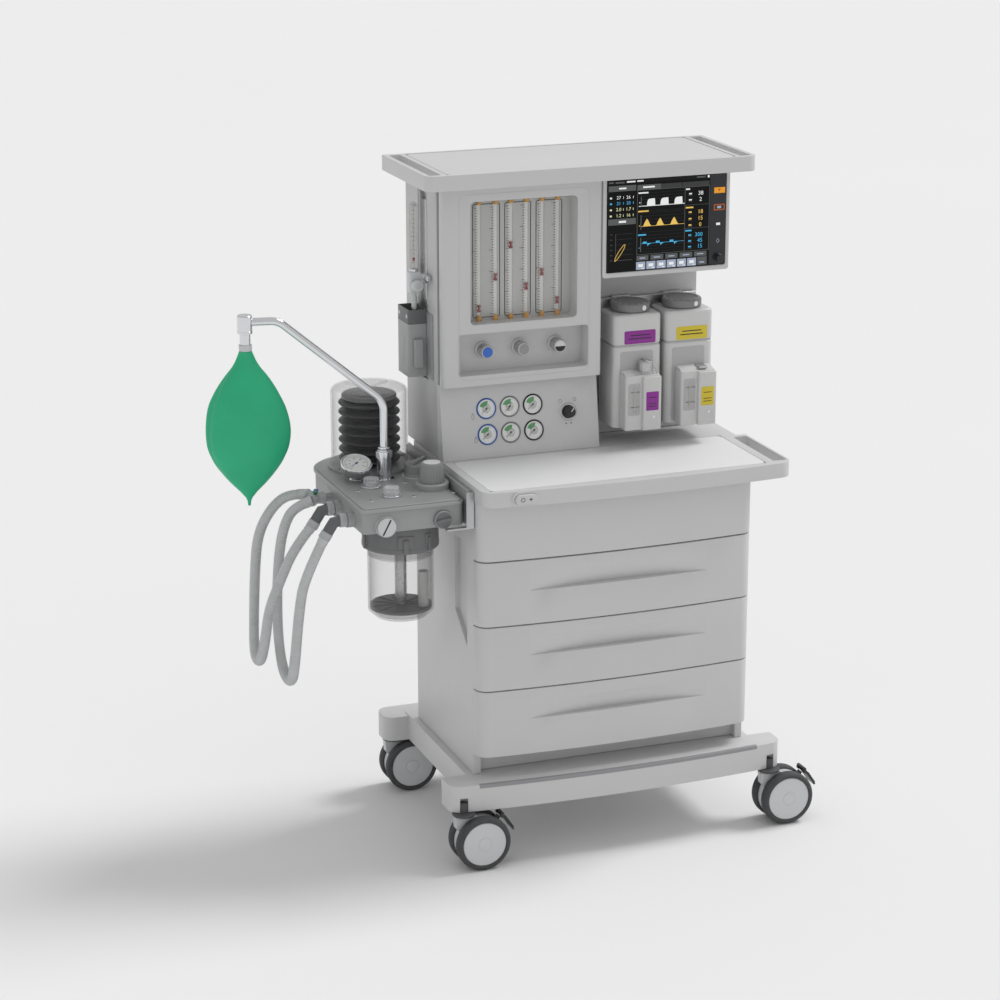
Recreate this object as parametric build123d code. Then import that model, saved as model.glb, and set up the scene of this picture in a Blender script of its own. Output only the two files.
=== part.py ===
from build123d import *
import os
from math import atan, cos, degrees, pi, radians, sin, sqrt, tan

# Anesthesia workstation for a veterinary clinic: a castor base, a three-drawer cabinet, a
# worktop, a gas column with flowmeters, display and two vaporizers, and a side breathing system.
# Millimetres. While it is modelled, x = 0 is the cabinet's centre plane, y = 0 is the drawer
# fronts' plane at their side ends with -Y to the user, and z = 0 is the floor. At the end every
# piece is moved so that the origin is the middle of the footprint, on the floor.

# ---------------------------------------------------------------- driving sizes
overall_height = 1400.0
cabinet_width = 605.0
cabinet_depth = 382.0
base_width = 742.0
tray_width = 716.0
wheel_diameter = 115.0
drawer_count = 3
flow_gas_count = 3

# fits
panel_gap = 0.5          # between fixed pieces that stand face to face
running_gap = 0.6        # between a moving piece and what it runs in
drawer_gap = 3.0         # the shadow line between drawer fronts

# castor base
base_bottom = 122.0
base_top = 178.0
base_beam_front = -22.0
base_bow = 21.0
base_beam_depth = 58.0
base_rear_back = 470.0
base_rear_depth = 70.0
base_rear_top = 176.0
base_corner = 26.0
base_middle_width = 636.0

# castors
caster_spread = 686.0            # between the swivel axes, side to side
caster_front_y = -20.0
caster_rear_y = 434.0
caster_trail = 34.0
tyre_width = 24.0
wheel_track = 46.0               # between the two tyres' middles
stem_radius = 9.0
swivel_radius = 24.0
axle_radius = 5.0
housing_clearance = 3.0          # the housing's rim inside the tyres' rim
pedal_length = 40.0
pedal_width = 34.0
pedal_reach = 9.0                # the pedal's hinge outside the tyres
pedal_angle = 48.0               # the hinge's direction from the axle, above level
pedal_droop = 56.0               # the tread's slope below level
pedal_tab = 7.0

# cabinet and drawers
cabinet_corner = 28.0
cabinet_bow = 14.5
cabinet_wall = 16.0
front_depth = 31.0
drawer_height = 134.4
low_drawer_height = 140.1
low_drawer_bottom = 224.0
shelf_thickness = 10.0
drawer_wall = 4.0
runner_width = 11.0
runner_height = 26.0
drawer_box_drop = 34.0           # the box is this much lower than its front
drawer_back_space = 22.0
drawer_travel = 270.0
grip_width = 400.0
grip_height = 38.0
grip_depth = 17.0
toe_recess = 18.0

# worktop
worktop_thickness = 31.0
worktop_height = 796.5
worktop_right = 371.0
worktop_front = -38.0
worktop_bow = 17.0
worktop_back = 392.0
worktop_corner = 30.0
worktop_slot_width = 31.0
worktop_slot_length = 196.0
worktop_rail = 5.0
worktop_ledge_drop = 14.0
flush_x = -220.0
flush_width = 46.0
flush_height = 20.0
flush_boss_rim = 5.0
flush_boss_height = 3.0
flush_travel = 5.0

# top tray
tray_thickness = 31.0
tray_front = 137.0
tray_back = 418.0
tray_corner = 20.0
tray_slot_width = 25.0
tray_slot_length = 255.0
tray_rim = 10.0
mat_thickness = 2.0

# gas column
column_left = -303.0
column_right = 303.0
column_split = 42.0              # where the flowmeter side meets the display side
column_back = 435.0
column_wall = 6.0
column_recess_front = 307.0
column_open_front = 242.0
groove_width = 57.0
groove_depth = 12.0
groove_centre_y = 327.0
groove_bottom = 950.0

# flowmeter fascia
fascia_front = 200.0
fascia_bottom = 953.0
fascia_thickness = 26.0
window_left = -245.0
window_right = -13.0
window_bottom = 1080.0
window_top = 1332.0
window_corner = 10.0
recess_left = -271.0
recess_right = 12.0
recess_bottom = 975.0
recess_top = 1062.0
recess_depth = 44.0
recess_wall = 3.0
flow_knob_pitch = 79.5
flow_knob_centre_x = -125.5
flow_knob_z = 1019.0
flow_knob_radius = 14.0
flow_knob_length = 27.0
flow_collar_radius = 17.0
flow_collar_length = 5.0
flow_shaft_radius = 3.0
tube_pitch = 34.3
tube_radius = 4.5
tube_wall = 1.2
tube_plane_y = 233.0
tube_first_x = -215.0
tube_bottom = 1094.0
tube_top = 1318.0
tube_fitting_radius = 5.2
tube_fitting_length = 11.0
rack_thickness = 4.0
float_radius = 2.6
float_length = 14.0
float_rest_heights = ((1106.0, 1172.0), (1236.0, 1148.0), (1175.0, 1112.0))
float_travel = 60.0

# slanted gauge panel
gauge_panel_top_y = 228.5
gauge_panel_foot_y = 205.5
gauge_radius = 21.5
gauge_depth = 12.0
gauge_pitch = 51.0
gauge_row_pitch = 53.0
gauge_first_x = -204.0
gauge_low_z = 845.0
selector_x = -24.0
selector_z = 876.0
selector_radius = 10.0
selector_length = 16.0
selector_shaft_radius = 3.0

# display
display_left = 42.5
display_right = 326.0
display_bottom = 1155.0
display_corner = 6.0
screen_margin = 9.0
screen_thickness = 2.5
display_dial_x = 300.0
display_dial_z = 1182.0
display_dial_radius = 9.5
display_dial_length = 11.0

# vaporizers on their manifold
vaporizer_width = 108.0
vaporizer_front = 200.0
vaporizer_back = 290.0
vaporizer_bottom = 834.0
vaporizer_top = 1074.0
vaporizer_centres = (124.0, 241.0)
vaporizer_corner = 14.0
vaporizer_dial_radius = 42.0
vaporizer_dial_height = 20.0
filler_width = 85.0
filler_depth = 34.0
filler_height = 122.0
filler_box_width = 40.0
filler_box_extra = 8.0
filler_cap_radius = 15.5
filler_cap_height = 22.0
manifold_bottom = 1052.0
manifold_height = 40.0
manifold_hook_width = 40.0

# auxiliary flowmeter and holder on the left of the column
aux_x = -328.0
aux_y = 310.0
aux_tube_radius = 8.5
aux_tube_bottom = 1177.0
aux_tube_top = 1320.0
aux_block_height = 44.0
aux_block_width = 26.0
aux_knob_radius = 12.0
aux_knob_length = 16.0
aux_shaft_radius = 3.0
aux_nozzle_radius = 6.0
holder_width = 42.0
holder_front = 297.0
holder_back = 367.0
holder_bottom = 958.0
holder_top = 1098.0
holder_wall = 3.0

# breathing system
block_right = -318.0
block_left = -530.0
block_front = 40.0
block_back = 438.0
block_bottom = 714.0
block_height = 43.0
block_corner = 12.0
block_round = 92.0
block_wall = 6.0
cover_thickness = 10.0
cover_lip = 3.0
dome_x = -417.0
dome_y = 343.0
dome_radius = 80.0
dome_wall = 3.0
dome_height = 169.0
dome_flange = 3.0
dome_flange_height = 6.0
bellows_radius = 64.0
bellows_root_radius = 53.0
bellows_pleats = 7
bellows_height = 138.0
bellows_foot = 8.0
bellows_disc_radius = 57.0
bellows_disc_thickness = 8.0
bellows_travel = 95.0
valve_places = ((-465.0, 186.0), (-447.0, 110.0))
valve_radius = 16.0
valve_height = 20.0
airway_gauge_x = -478.0
airway_gauge_y = 245.0
airway_gauge_radius = 30.0
airway_gauge_depth = 24.0
airway_gauge_tilt = 20.0
apl_x = -351.0
apl_y = 140.0
apl_ring_radius = 34.0
apl_ring_height = 13.0
apl_radius = 26.0
apl_top_radius = 23.0
apl_height = 40.0
switch_x = -350.0
switch_y = 236.0
switch_radius = 28.0
switch_height = 26.0
switch_grip = 7.0
coin_screw_places = ((-483.0, 727.0, 20.5), (-364.0, 730.0, 18.5))
coin_screw_length = 9.0
port_radius = 11.0
port_collar_radius = 16.0
port_places = ((190.0, 729.0), (106.0, 729.0))
parking_y = 247.0
parking_z = 736.0
elbow_run = 36.0
elbow_leg = 24.0
elbow_radius = 12.5

# absorber canister
canister_x = -423.0
canister_y = 130.0
collar_radius = 77.0
collar_height = 55.0
collar_wall = 6.0
jar_radius = 67.0
jar_wall = 3.5
jar_bottom = 510.0
jar_engagement = 30.0
jar_chamfer = 14.0
jar_tube_radius = 12.0
jar_grid_height = 16.0
jar_grid_thickness = 6.0
canister_travel = 28.0

# bracket that carries the breathing block on the cabinet's side
bracket_front = 22.0
bracket_back = 420.0
bracket_tongue = 44.0
bracket_thickness = 3.0

# bag arm and bag
socket_x = -421.0
socket_y = 235.0
socket_radius = 15.5
socket_height = 63.0
arm_pipe_radius = 8.3
arm_reach = 273.0
arm_turn = 9.3                   # degrees from -X towards the back
arm_knee_height = 930.0
arm_top = 1106.0
arm_bend = 42.0
arm_flat = 62.0
arm_head_radius = 15.5
arm_head_height = 38.0
arm_neck_radius = 11.0
arm_ring_radius = 13.5
arm_neck_length = 22.0
arm_ring_height = 13.0
bag_length = 312.0
bag_width = 166.0
bag_thickness = 96.0
bag_tail = 11.0

# breathing hoses, outside diameter, and their hand-chosen routes from the Y-piece to the elbows
hose_diameter = 22.0
inspiratory_route = (
    (-578, 262, 742), (-613, 275, 744), (-646, 290, 713), (-672, 305, 655),
    (-677, 315, 575), (-680, 321, 475), (-690, 290, 406), (-696, 224, 402),
    (-694, 188, 464), (-685, 188, 530), (-660, 190, 586), (-628, 190, 655), (-588, 190, 699))
expiratory_route = (
    (-576, 234, 736), (-612, 242, 725), (-632, 249, 684), (-642, 252, 630),
    (-648, 251, 562), (-649, 254, 492), (-648, 249, 430), (-650, 215, 383),
    (-652, 147, 380), (-654, 113, 438), (-645, 108, 545), (-633, 106, 616), (-588, 106, 699))

# ---------------------------------------------------------------- worked out from those
half_cabinet = cabinet_width / 2
cabinet_top = worktop_height - worktop_thickness
column_bottom = worktop_height
tray_bottom = overall_height - tray_thickness
fascia_top = tray_bottom - panel_gap
cover_top = block_bottom + block_height + cover_thickness
wheel_radius = wheel_diameter / 2
web_half = wheel_track / 2 - tyre_width / 2 - running_gap * 2
carcass_front = front_depth + panel_gap
carcass_back = cabinet_depth
socket_top = cover_top + socket_height
worktop_middle = (worktop_right - half_cabinet) / 2
worktop_half = (worktop_right + half_cabinet) / 2
gauge_slant = degrees(atan((gauge_panel_top_y - gauge_panel_foot_y) / (fascia_bottom - column_bottom)))
knob_back_y = fascia_front + recess_depth - recess_wall
rack_y = tube_plane_y + tube_fitting_radius + panel_gap

nodes = {}


# ---------------------------------------------------------------- shape helpers
def block(x0, x1, y0, y1, z0, z1):
    """A box between two corners."""
    size = Box(x1 - x0, y1 - y0, z1 - z0, align=(Align.MIN, Align.MIN, Align.MIN))
    return Pos(x0, y0, z0) * size


def rounded_block(x0, x1, y0, y1, z0, z1, radius):
    """A box with its upright edges rounded."""
    plan = RectangleRounded(x1 - x0, y1 - y0, radius)
    return Pos((x0 + x1) / 2, (y0 + y1) / 2, z0) * extrude(plan, z1 - z0)


def post(x, y, z0, z1, radius):
    """An upright cylinder."""
    return Pos(x, y, z0) * Cylinder(radius, z1 - z0, align=(Align.CENTER, Align.CENTER, Align.MIN))


def rod_y(x, z, y0, y1, radius):
    """A cylinder along Y."""
    return Pos(x, (y0 + y1) / 2, z) * Rot(90, 0, 0) * Cylinder(radius, y1 - y0)


def rod_x(y, z, x0, x1, radius):
    """A cylinder along X."""
    return Pos((x0 + x1) / 2, y, z) * Rot(0, 90, 0) * Cylinder(radius, x1 - x0)


def window_block(x0, x1, y0, y1, z0, z1, radius):
    """A box along Y with its four long edges rounded."""
    face = RectangleRounded(x1 - x0, z1 - z0, radius)
    return Pos((x0 + x1) / 2, y1, (z0 + z1) / 2) * Rot(90, 0, 0) * extrude(face, y1 - y0)


def bowed_plate(x0, x1, front, bow, back, z0, z1, corner):
    """A plate with a convex front, its two front corners rounded."""
    middle = (x0 + x1) / 2
    sides = Polyline((x1, front), (x1, back), (x0, back), (x0, front))
    face = make_face(sides + ThreePointArc((x0, front), (middle, front - bow), (x1, front)))
    face = fillet(face.vertices().sort_by(Axis.Y)[:2], corner)
    return Pos(0, 0, z0) * extrude(face, z1 - z0)


def bow_at(x, front, bow, middle, half):
    """The y of a bowed front at x, on the arc through its ends and its middle."""
    arc_radius = (half ** 2 + bow ** 2) / (2 * bow)
    return front - bow + arc_radius - sqrt(arc_radius ** 2 - (x - middle) ** 2)


def on_gauge_panel(x, z):
    """The frame of a point on the slanted panel, its Z along the outward normal."""
    y = gauge_panel_foot_y + (z - column_bottom) * tan(radians(gauge_slant))
    return Pos(x, y, z) * Rot(90 - gauge_slant, 0, 0)


def turned(radius_heights):
    """A solid of revolution about Z from (radius, height) points."""
    face = make_face(Plane.XZ * Polyline(*radius_heights, close=True))
    return revolve(face, Axis.Z)


# ---------------------------------------------------------------- base and castors
def make_base_frame():
    """A moulded base: bowed front beam, rear beam and a middle plate."""
    half = base_width / 2
    front_back = base_beam_front + base_beam_depth
    front = bowed_plate(-half, half, base_beam_front, base_bow, front_back, base_bottom, base_top, base_corner)
    rear_front = base_rear_back - base_rear_depth
    rear = rounded_block(-half, half, rear_front, base_rear_back, base_bottom, base_rear_top, base_corner)
    half_middle = base_middle_width / 2
    middle = block(-half_middle, half_middle, front_back - base_corner, rear_front + base_corner,
                   base_bottom, base_top)
    frame = front + rear + middle
    for x, y in caster_places():
        frame = frame - post(x, y, base_bottom - 1, base_bottom + 30, stem_radius + running_gap)
    return frame


def caster_places():
    """The swivel axes: front left, front right, rear left, rear right."""
    half = caster_spread / 2
    return [(-half, caster_front_y), (half, caster_front_y), (-half, caster_rear_y), (half, caster_rear_y)]


def make_caster_housing(x, y):
    """A swivel head with its stem, the disc between the twin wheels and the axle."""
    axle_x = x + caster_trail
    swivel_top = base_bottom - running_gap
    head = post(x, y, swivel_top - 6, swivel_top, swivel_radius)
    stem = post(x, y, swivel_top - 1, base_bottom + 26, stem_radius)
    disc = rod_y(axle_x, wheel_radius, y - web_half, y + web_half, wheel_radius - housing_clearance)
    web = block(x - swivel_radius + 4, axle_x, y - web_half, y + web_half, wheel_radius * 0.8, swivel_top - 5)
    outer = wheel_track / 2 + tyre_width / 2 - 3
    axle = rod_y(axle_x, wheel_radius, y - outer, y + outer, axle_radius)
    return head + stem + disc + web + axle


def make_caster_wheels(x, y):
    """Two tyred wheels on one axle."""
    axle_x = x + caster_trail
    wheels = []
    for side in (-1, 1):
        middle = y + side * wheel_track / 2
        tyre = rod_y(axle_x, wheel_radius, middle - tyre_width / 2, middle + tyre_width / 2, wheel_radius)
        tyre = fillet(tyre.edges().filter_by(GeomType.CIRCLE), 5)
        face = middle + side * tyre_width / 2
        dish = rod_y(axle_x, wheel_radius, face - 2, face + 2, wheel_radius * 0.78)
        bore = rod_y(axle_x, wheel_radius, middle - tyre_width, middle + tyre_width, axle_radius + 0.3)
        wheels.append(tyre - dish - bore)
    return Compound(children=wheels)


def pedal_hinge(x):
    """The pedal's hinge axis, outside the tyres on the trailing side."""
    axle_x = x + caster_trail
    reach = wheel_radius + pedal_reach
    return axle_x + reach * cos(radians(pedal_angle)), wheel_radius + reach * sin(radians(pedal_angle))


def make_brake_pedal(x, y):
    """A ridged foot pedal that hangs round the tyres from its hinge bar."""
    hinge_x, hinge_z = pedal_hinge(x)
    half = pedal_width / 2
    bar = Rot(90, 0, 0) * Cylinder(4, pedal_width)
    tread = block(2, pedal_length, -half, half, 0, 4)
    for ridge in range(5):
        start = 9 + ridge * 6
        tread = tread + block(start, start + 3, -half, half, 3, 6)
    tab = block(-3, 3, -half, half, 0, pedal_tab)
    pedal = Rot(0, pedal_droop, 0) * (bar + tread) + tab
    pedal = pedal - Box(20, web_half * 2 + 4 * running_gap, 9, align=(Align.MAX, Align.CENTER, Align.CENTER))
    return Pos(hinge_x, y, hinge_z) * pedal


def make_pedal_arm(x, y):
    """The housing's lug that reaches between the tyres to the pedal."""
    axle_x = x + caster_trail
    length = wheel_radius + pedal_reach - 6
    lug = Box(length, web_half * 2, 12, align=(Align.MIN, Align.CENTER, Align.CENTER))
    return Pos(axle_x, y, wheel_radius) * Rot(0, -pedal_angle, 0) * lug


# ---------------------------------------------------------------- cabinet and drawers
def drawer_spans():
    """The bottom and top of each drawer front, from the lowest up."""
    spans = [(low_drawer_bottom, low_drawer_bottom + low_drawer_height)]
    for _ in range(drawer_count - 1):
        bottom = spans[-1][1] + drawer_gap
        spans.append((bottom, bottom + drawer_height))
    return spans


def drawer_box_span(bottom, top):
    """The z range of a drawer's box behind its front."""
    return bottom + shelf_thickness, top - drawer_box_drop + shelf_thickness


def make_cabinet_shell():
    """Carcass with a bowed fixed fascia, side and back panels, shelves and runners."""
    fascia_low = drawer_spans()[-1][1] + drawer_gap
    fixed = bowed_plate(-half_cabinet, half_cabinet, 0, cabinet_bow, carcass_front + cabinet_wall,
                        fascia_low, cabinet_top - panel_gap, cabinet_corner)
    carcass = block(-half_cabinet, half_cabinet, carcass_front, carcass_back,
                    base_top + panel_gap, cabinet_top - panel_gap)
    inner = half_cabinet - cabinet_wall
    toe = block(-inner, inner, carcass_front - 1, carcass_front + toe_recess,
                base_top - 1, low_drawer_bottom)
    shell = fixed + carcass - toe
    for bottom, top in drawer_spans():
        bay = block(-inner, inner, carcass_front - 1, carcass_back - cabinet_wall,
                    bottom + 2, top - 2)
        shell = shell - bay
    upper = block(-inner, inner, carcass_front + cabinet_wall, carcass_back - cabinet_wall,
                  fascia_low + shelf_thickness, cabinet_top - cabinet_wall)
    shell = shell - upper
    for bottom, top in drawer_spans():
        low, high = drawer_box_span(bottom, top)
        middle = (low + high) / 2
        for side in (-1, 1):
            wall = side * inner
            rail = side * (inner - runner_width)
            shell = shell + block(min(wall, rail), max(wall, rail), carcass_front + 6,
                                  carcass_back - cabinet_wall, middle - runner_height / 2,
                                  middle + runner_height / 2)
    side_pocket = side_recess()
    return shell - side_pocket


def side_recess():
    """A tall tapered scoop pressed into the cabinet's left side."""
    near, far = 68.0, 142.0
    top, bottom = 668.0, 445.0
    depth = 9.0
    outline = Polyline((near, bottom), (near, top), (far, top - 8), (far, bottom + 60), close=True)
    face = make_face(Plane.YZ * outline)
    return Pos(-half_cabinet - 0.01, 0, 0) * extrude(face, depth, dir=(1, 0, 0))


def make_drawer(bottom, top):
    """A bowed front with a scooped grip, and an open box behind it."""
    front = bowed_plate(-half_cabinet, half_cabinet, 0, cabinet_bow, front_depth, bottom, top, cabinet_corner)
    front = front - grip_scoop(top)
    box_half = half_cabinet - cabinet_wall - runner_width - running_gap
    low, high = drawer_box_span(bottom, top)
    box_back = carcass_back - cabinet_wall - drawer_back_space
    box = block(-box_half, box_half, front_depth - 0.5, box_back, low, high)
    space = block(-box_half + drawer_wall, box_half - drawer_wall, front_depth, box_back - drawer_wall,
                  low + drawer_wall, high + 1)
    return front + box - space


def grip_scoop(top):
    """A grip that deepens downwards to a sharp lower lip and fades to its ends."""
    lip = top - 26 - grip_height
    reach = grip_width / 2
    face_y = -cabinet_bow - 1

    def segment(depth, z):
        ends = bow_at(reach, 0, cabinet_bow, 0, half_cabinet) - 0.5
        arc = ThreePointArc((-reach, ends), (0, -cabinet_bow + depth), (reach, ends))
        line = Polyline((reach, ends), (reach, face_y - 4), (-reach, face_y - 4), (-reach, ends))
        return Pos(0, 0, z) * make_face(arc + line)

    return loft([segment(grip_depth, lip), segment(0.6, lip + grip_height)], ruled=True)


# ---------------------------------------------------------------- worktop and trays
def make_worktop():
    """A bowed slab with a side rail, its hand slot, a lower rear ledge and the flush boss."""
    slab = bowed_plate(-half_cabinet - 1, worktop_right, worktop_front, worktop_bow, worktop_back,
                       cabinet_top, worktop_height, worktop_corner)
    slot_right = worktop_right - worktop_rail
    slot_left = slot_right - worktop_slot_width
    slot_front = worktop_front + 20
    slot = rounded_block(slot_left, slot_right, slot_front, slot_front + worktop_slot_length,
                         cabinet_top - 1, worktop_height + 1, 6)
    ledge_front = slot_front + worktop_slot_length + 14
    ledge = block(slot_left, worktop_right + 1, ledge_front, worktop_back + 1,
                  worktop_height - worktop_ledge_drop, worktop_height + 1)
    mat_groove = mat_rim(worktop_mat(), worktop_height)
    boss = flush_solid(flush_width + 2 * flush_boss_rim, flush_height + 2 * flush_boss_rim,
                       flush_y() - flush_boss_height, flush_y() + 6)
    bore = flush_solid(flush_width + 2 * running_gap, flush_height + 2 * running_gap,
                       flush_y() - 20, flush_y() + 16)
    return slab - slot - ledge - mat_groove + boss - bore


def flush_y():
    """The worktop's front face at the flush button."""
    return bow_at(flush_x, worktop_front, worktop_bow, worktop_middle, worktop_half)


def flush_solid(width, height, y0, y1):
    """An oval prism along Y at the flush button's place."""
    face = SlotOverall(width, height)
    middle = worktop_height - worktop_thickness / 2
    return Pos(flush_x, y1, middle) * Rot(90, 0, 0) * extrude(face, y1 - y0)


def make_flush_button():
    """The oval oxygen flush button, standing proud of its boss."""
    button = flush_solid(flush_width, flush_height, flush_y() - flush_boss_height - flush_travel - 1,
                         flush_y() + 9)
    return fillet(button.edges().group_by(Axis.Y)[0], 1.5)


def worktop_mat():
    """The worktop mat's plan: x0, x1, y0, y1."""
    slot_left = worktop_right - worktop_rail - worktop_slot_width
    return (-half_cabinet + 16, slot_left - 19, worktop_front + 12, gauge_panel_foot_y - 6)


def tray_mat():
    """The tray mat's plan: x0, x1, y0, y1."""
    half = tray_width / 2 - tray_rim - tray_slot_width - tray_rim
    return (-half, half, tray_front + 9, tray_back - 9)


def mat_rim(plan, top):
    """The shallow pocket that a mat lies in."""
    x0, x1, y0, y1 = plan
    return block(x0, x1, y0, y1, top - mat_thickness, top + 1)


def make_mat(plan, top):
    """A non-slip mat, flush with the surface it is let into."""
    x0, x1, y0, y1 = plan
    return rounded_block(x0 + panel_gap, x1 - panel_gap, y0 + panel_gap, y1 - panel_gap,
                         top - mat_thickness, top, 3)


def make_top_tray():
    """A flat tray with a hand slot at each end."""
    half = tray_width / 2
    plan = Polyline((-half, tray_front), (-half, tray_back), (half, tray_back), (half, tray_front), close=True)
    face = make_face(plan)
    face = fillet(face.vertices().sort_by(Axis.Y)[:2], tray_corner)
    tray = Pos(0, 0, tray_bottom) * extrude(face, tray_thickness)
    middle = (tray_front + tray_back) / 2
    for side in (-1, 1):
        outer = side * (half - tray_rim)
        inner = side * (half - tray_rim - tray_slot_width)
        tray = tray - rounded_block(min(outer, inner), max(outer, inner), middle - tray_slot_length / 2,
                                    middle + tray_slot_length / 2, tray_bottom - 1, overall_height + 1, 5)
    return tray - mat_rim(tray_mat(), overall_height)


# ---------------------------------------------------------------- gas column
def make_column_shell():
    """A hollow sheet-metal column, open in front on the flowmeter side."""
    top = tray_bottom - panel_gap
    left = block(column_left, column_split, column_open_front, column_back, column_bottom + panel_gap, top)
    right = block(column_split, column_right, column_recess_front, column_back,
                  column_bottom + panel_gap, top)
    left_space = block(column_left + column_wall, column_split - column_wall, column_open_front - 1,
                       column_back - column_wall, column_bottom + column_wall, top - column_wall)
    right_space = block(column_split - column_wall - 1, column_right - column_wall,
                        column_recess_front + column_wall, column_back - column_wall,
                        column_bottom + column_wall, top - column_wall)
    shell = left + right - left_space - right_space
    half_groove = groove_width / 2
    trough = block(column_left, column_left + groove_depth + column_wall, groove_centre_y - half_groove - column_wall,
                   groove_centre_y + half_groove + column_wall, groove_bottom - column_wall, top)
    groove = block(column_left - 1, column_left + groove_depth, groove_centre_y - half_groove,
                   groove_centre_y + half_groove, groove_bottom, top - 30)
    shell = shell + trough - groove
    outer_edges = shell.edges().filter_by(Axis.Z).filter_by_position(Axis.Y, column_back - 1, column_back + 1)
    return fillet(outer_edges, 5)


def make_flowmeter_fascia():
    """The front moulding: a window opening, and a shelf recess for the flow knobs."""
    back = fascia_front + fascia_thickness
    plate = block(column_left, column_split, fascia_front, back, fascia_bottom, fascia_top)
    plate = fillet(plate.edges().filter_by(Axis.Z).sort_by(Axis.Y)[:2], 8)
    walls = block(window_left - recess_wall, window_right + recess_wall, back - 1, rack_y,
                  window_bottom - recess_wall, window_top + recess_wall)
    tray = block(recess_left - recess_wall, recess_right + recess_wall, back - 1,
                 fascia_front + recess_depth, recess_bottom - recess_wall, recess_top + recess_wall)
    fascia = plate + walls + tray
    opening = window_block(window_left, window_right, fascia_front - 1, rack_y + 1,
                           window_bottom, window_top, window_corner)
    recess = window_block(recess_left, recess_right, fascia_front - 1, knob_back_y,
                          recess_bottom, recess_top, 6)
    fascia = fascia - opening - recess
    for x in flow_knob_xs():
        fascia = fascia - rod_y(x, flow_knob_z, knob_back_y - 1, fascia_front + recess_depth + 1,
                                flow_shaft_radius + running_gap)
    return fascia


def flow_knob_xs():
    """The flow knobs' centres, left to right."""
    middle = (flow_gas_count - 1) / 2
    return [flow_knob_centre_x + (i - middle) * flow_knob_pitch for i in range(flow_gas_count)]


def tube_xs(gas):
    """The two tubes' centres of one gas."""
    first = tube_first_x + 2 * gas * tube_pitch
    return first, first + tube_pitch


def make_flow_tube_rack():
    """A back panel with six clear tubes in end fittings, two to each gas."""
    pieces = [block(window_left - recess_wall, window_right + recess_wall, rack_y + panel_gap,
                    rack_y + panel_gap + rack_thickness, window_bottom - recess_wall,
                    window_top + recess_wall)]
    for gas in range(flow_gas_count):
        for x in tube_xs(gas):
            tube = post(x, tube_plane_y, tube_bottom, tube_top, tube_radius)
            tube = tube - post(x, tube_plane_y, tube_bottom - 1, tube_top + 1, tube_radius - tube_wall)
            low = post(x, tube_plane_y, tube_bottom - tube_fitting_length, tube_bottom, tube_fitting_radius)
            high = post(x, tube_plane_y, tube_top, tube_top + tube_fitting_length, tube_fitting_radius)
            backs = block(x - 3, x + 3, tube_plane_y, rack_y + panel_gap + 1,
                          tube_bottom - tube_fitting_length, tube_bottom)
            tops = block(x - 3, x + 3, tube_plane_y, rack_y + panel_gap + 1,
                         tube_top, tube_top + tube_fitting_length)
            pieces[0] = pieces[0] + backs + tops + low + high + tube
    return pieces[0]


def make_flowmeter_window():
    """The clear pane in the fascia's opening."""
    gap = panel_gap
    return window_block(window_left + gap, window_right - gap, fascia_front + 4, fascia_front + 7,
                        window_bottom + gap, window_top - gap, window_corner - gap)


def make_flow_knob(x):
    """A knurled flow knob with its collar and its shaft."""
    collar_front = knob_back_y - running_gap - flow_collar_length
    collar = rod_y(x, flow_knob_z, collar_front, knob_back_y - running_gap, flow_collar_radius)
    knob = rod_y(x, flow_knob_z, collar_front - flow_knob_length, collar_front + 0.5, flow_knob_radius)
    knob = fillet(knob.edges().group_by(Axis.Y)[0], 1.5)
    shaft = rod_y(x, flow_knob_z, collar_front, fascia_front + recess_depth + 1.5, flow_shaft_radius)
    return collar + knob + shaft


def make_flow_floats(gas):
    """The two spool-shaped floats of one gas, loose in their tubes."""
    floats = []
    for x, z in zip(tube_xs(gas), float_rest_heights[gas]):
        half = float_length / 2
        profile = ((0, -half), (float_radius, -half), (float_radius, -half + 2), (float_radius * 0.55, -1),
                   (float_radius * 0.55, 1), (float_radius, half - 2), (float_radius, half), (0, half))
        floats.append(Pos(x, tube_plane_y, z) * turned(profile))
    return Compound(children=floats)


def make_gauge_panel():
    """The slanted panel under the fascia, with bores for the gauges and the selector."""
    foot = column_bottom + panel_gap
    top = fascia_bottom - panel_gap
    back = column_open_front - panel_gap
    outline = Polyline((gauge_panel_foot_y, foot), (gauge_panel_top_y, top), (back, top), (back, foot), close=True)
    panel = Pos(column_left, 0, 0) * extrude(make_face(Plane.YZ * outline), column_split - column_left,
                                             dir=(1, 0, 0))
    for place in gauge_places():
        panel = panel - on_gauge_panel(*place) * Cylinder(gauge_radius + panel_gap, 2 * gauge_depth)
    hole = Cylinder(selector_shaft_radius + running_gap, 60)
    return panel - on_gauge_panel(selector_x, selector_z) * hole


def gauge_places():
    """The six gauges' centres on the panel, three by two."""
    rows = (gauge_low_z, gauge_low_z + gauge_row_pitch)
    return [(gauge_first_x + column * gauge_pitch, z) for z in rows for column in range(3)]


def make_pressure_gauges():
    """Six round gauges, each with a raised bezel."""
    gauges = []
    for place in gauge_places():
        bezel = Cylinder(gauge_radius, gauge_depth - 1 + 3, align=(Align.CENTER, Align.CENTER, Align.MIN))
        dial = Pos(0, 0, gauge_depth) * Cylinder(gauge_radius - 2.5, 5, align=(Align.CENTER, Align.CENTER, Align.MIN))
        gauges.append(on_gauge_panel(*place) * Pos(0, 0, -gauge_depth + 1) * (bezel - dial))
    return Compound(children=gauges)


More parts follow.
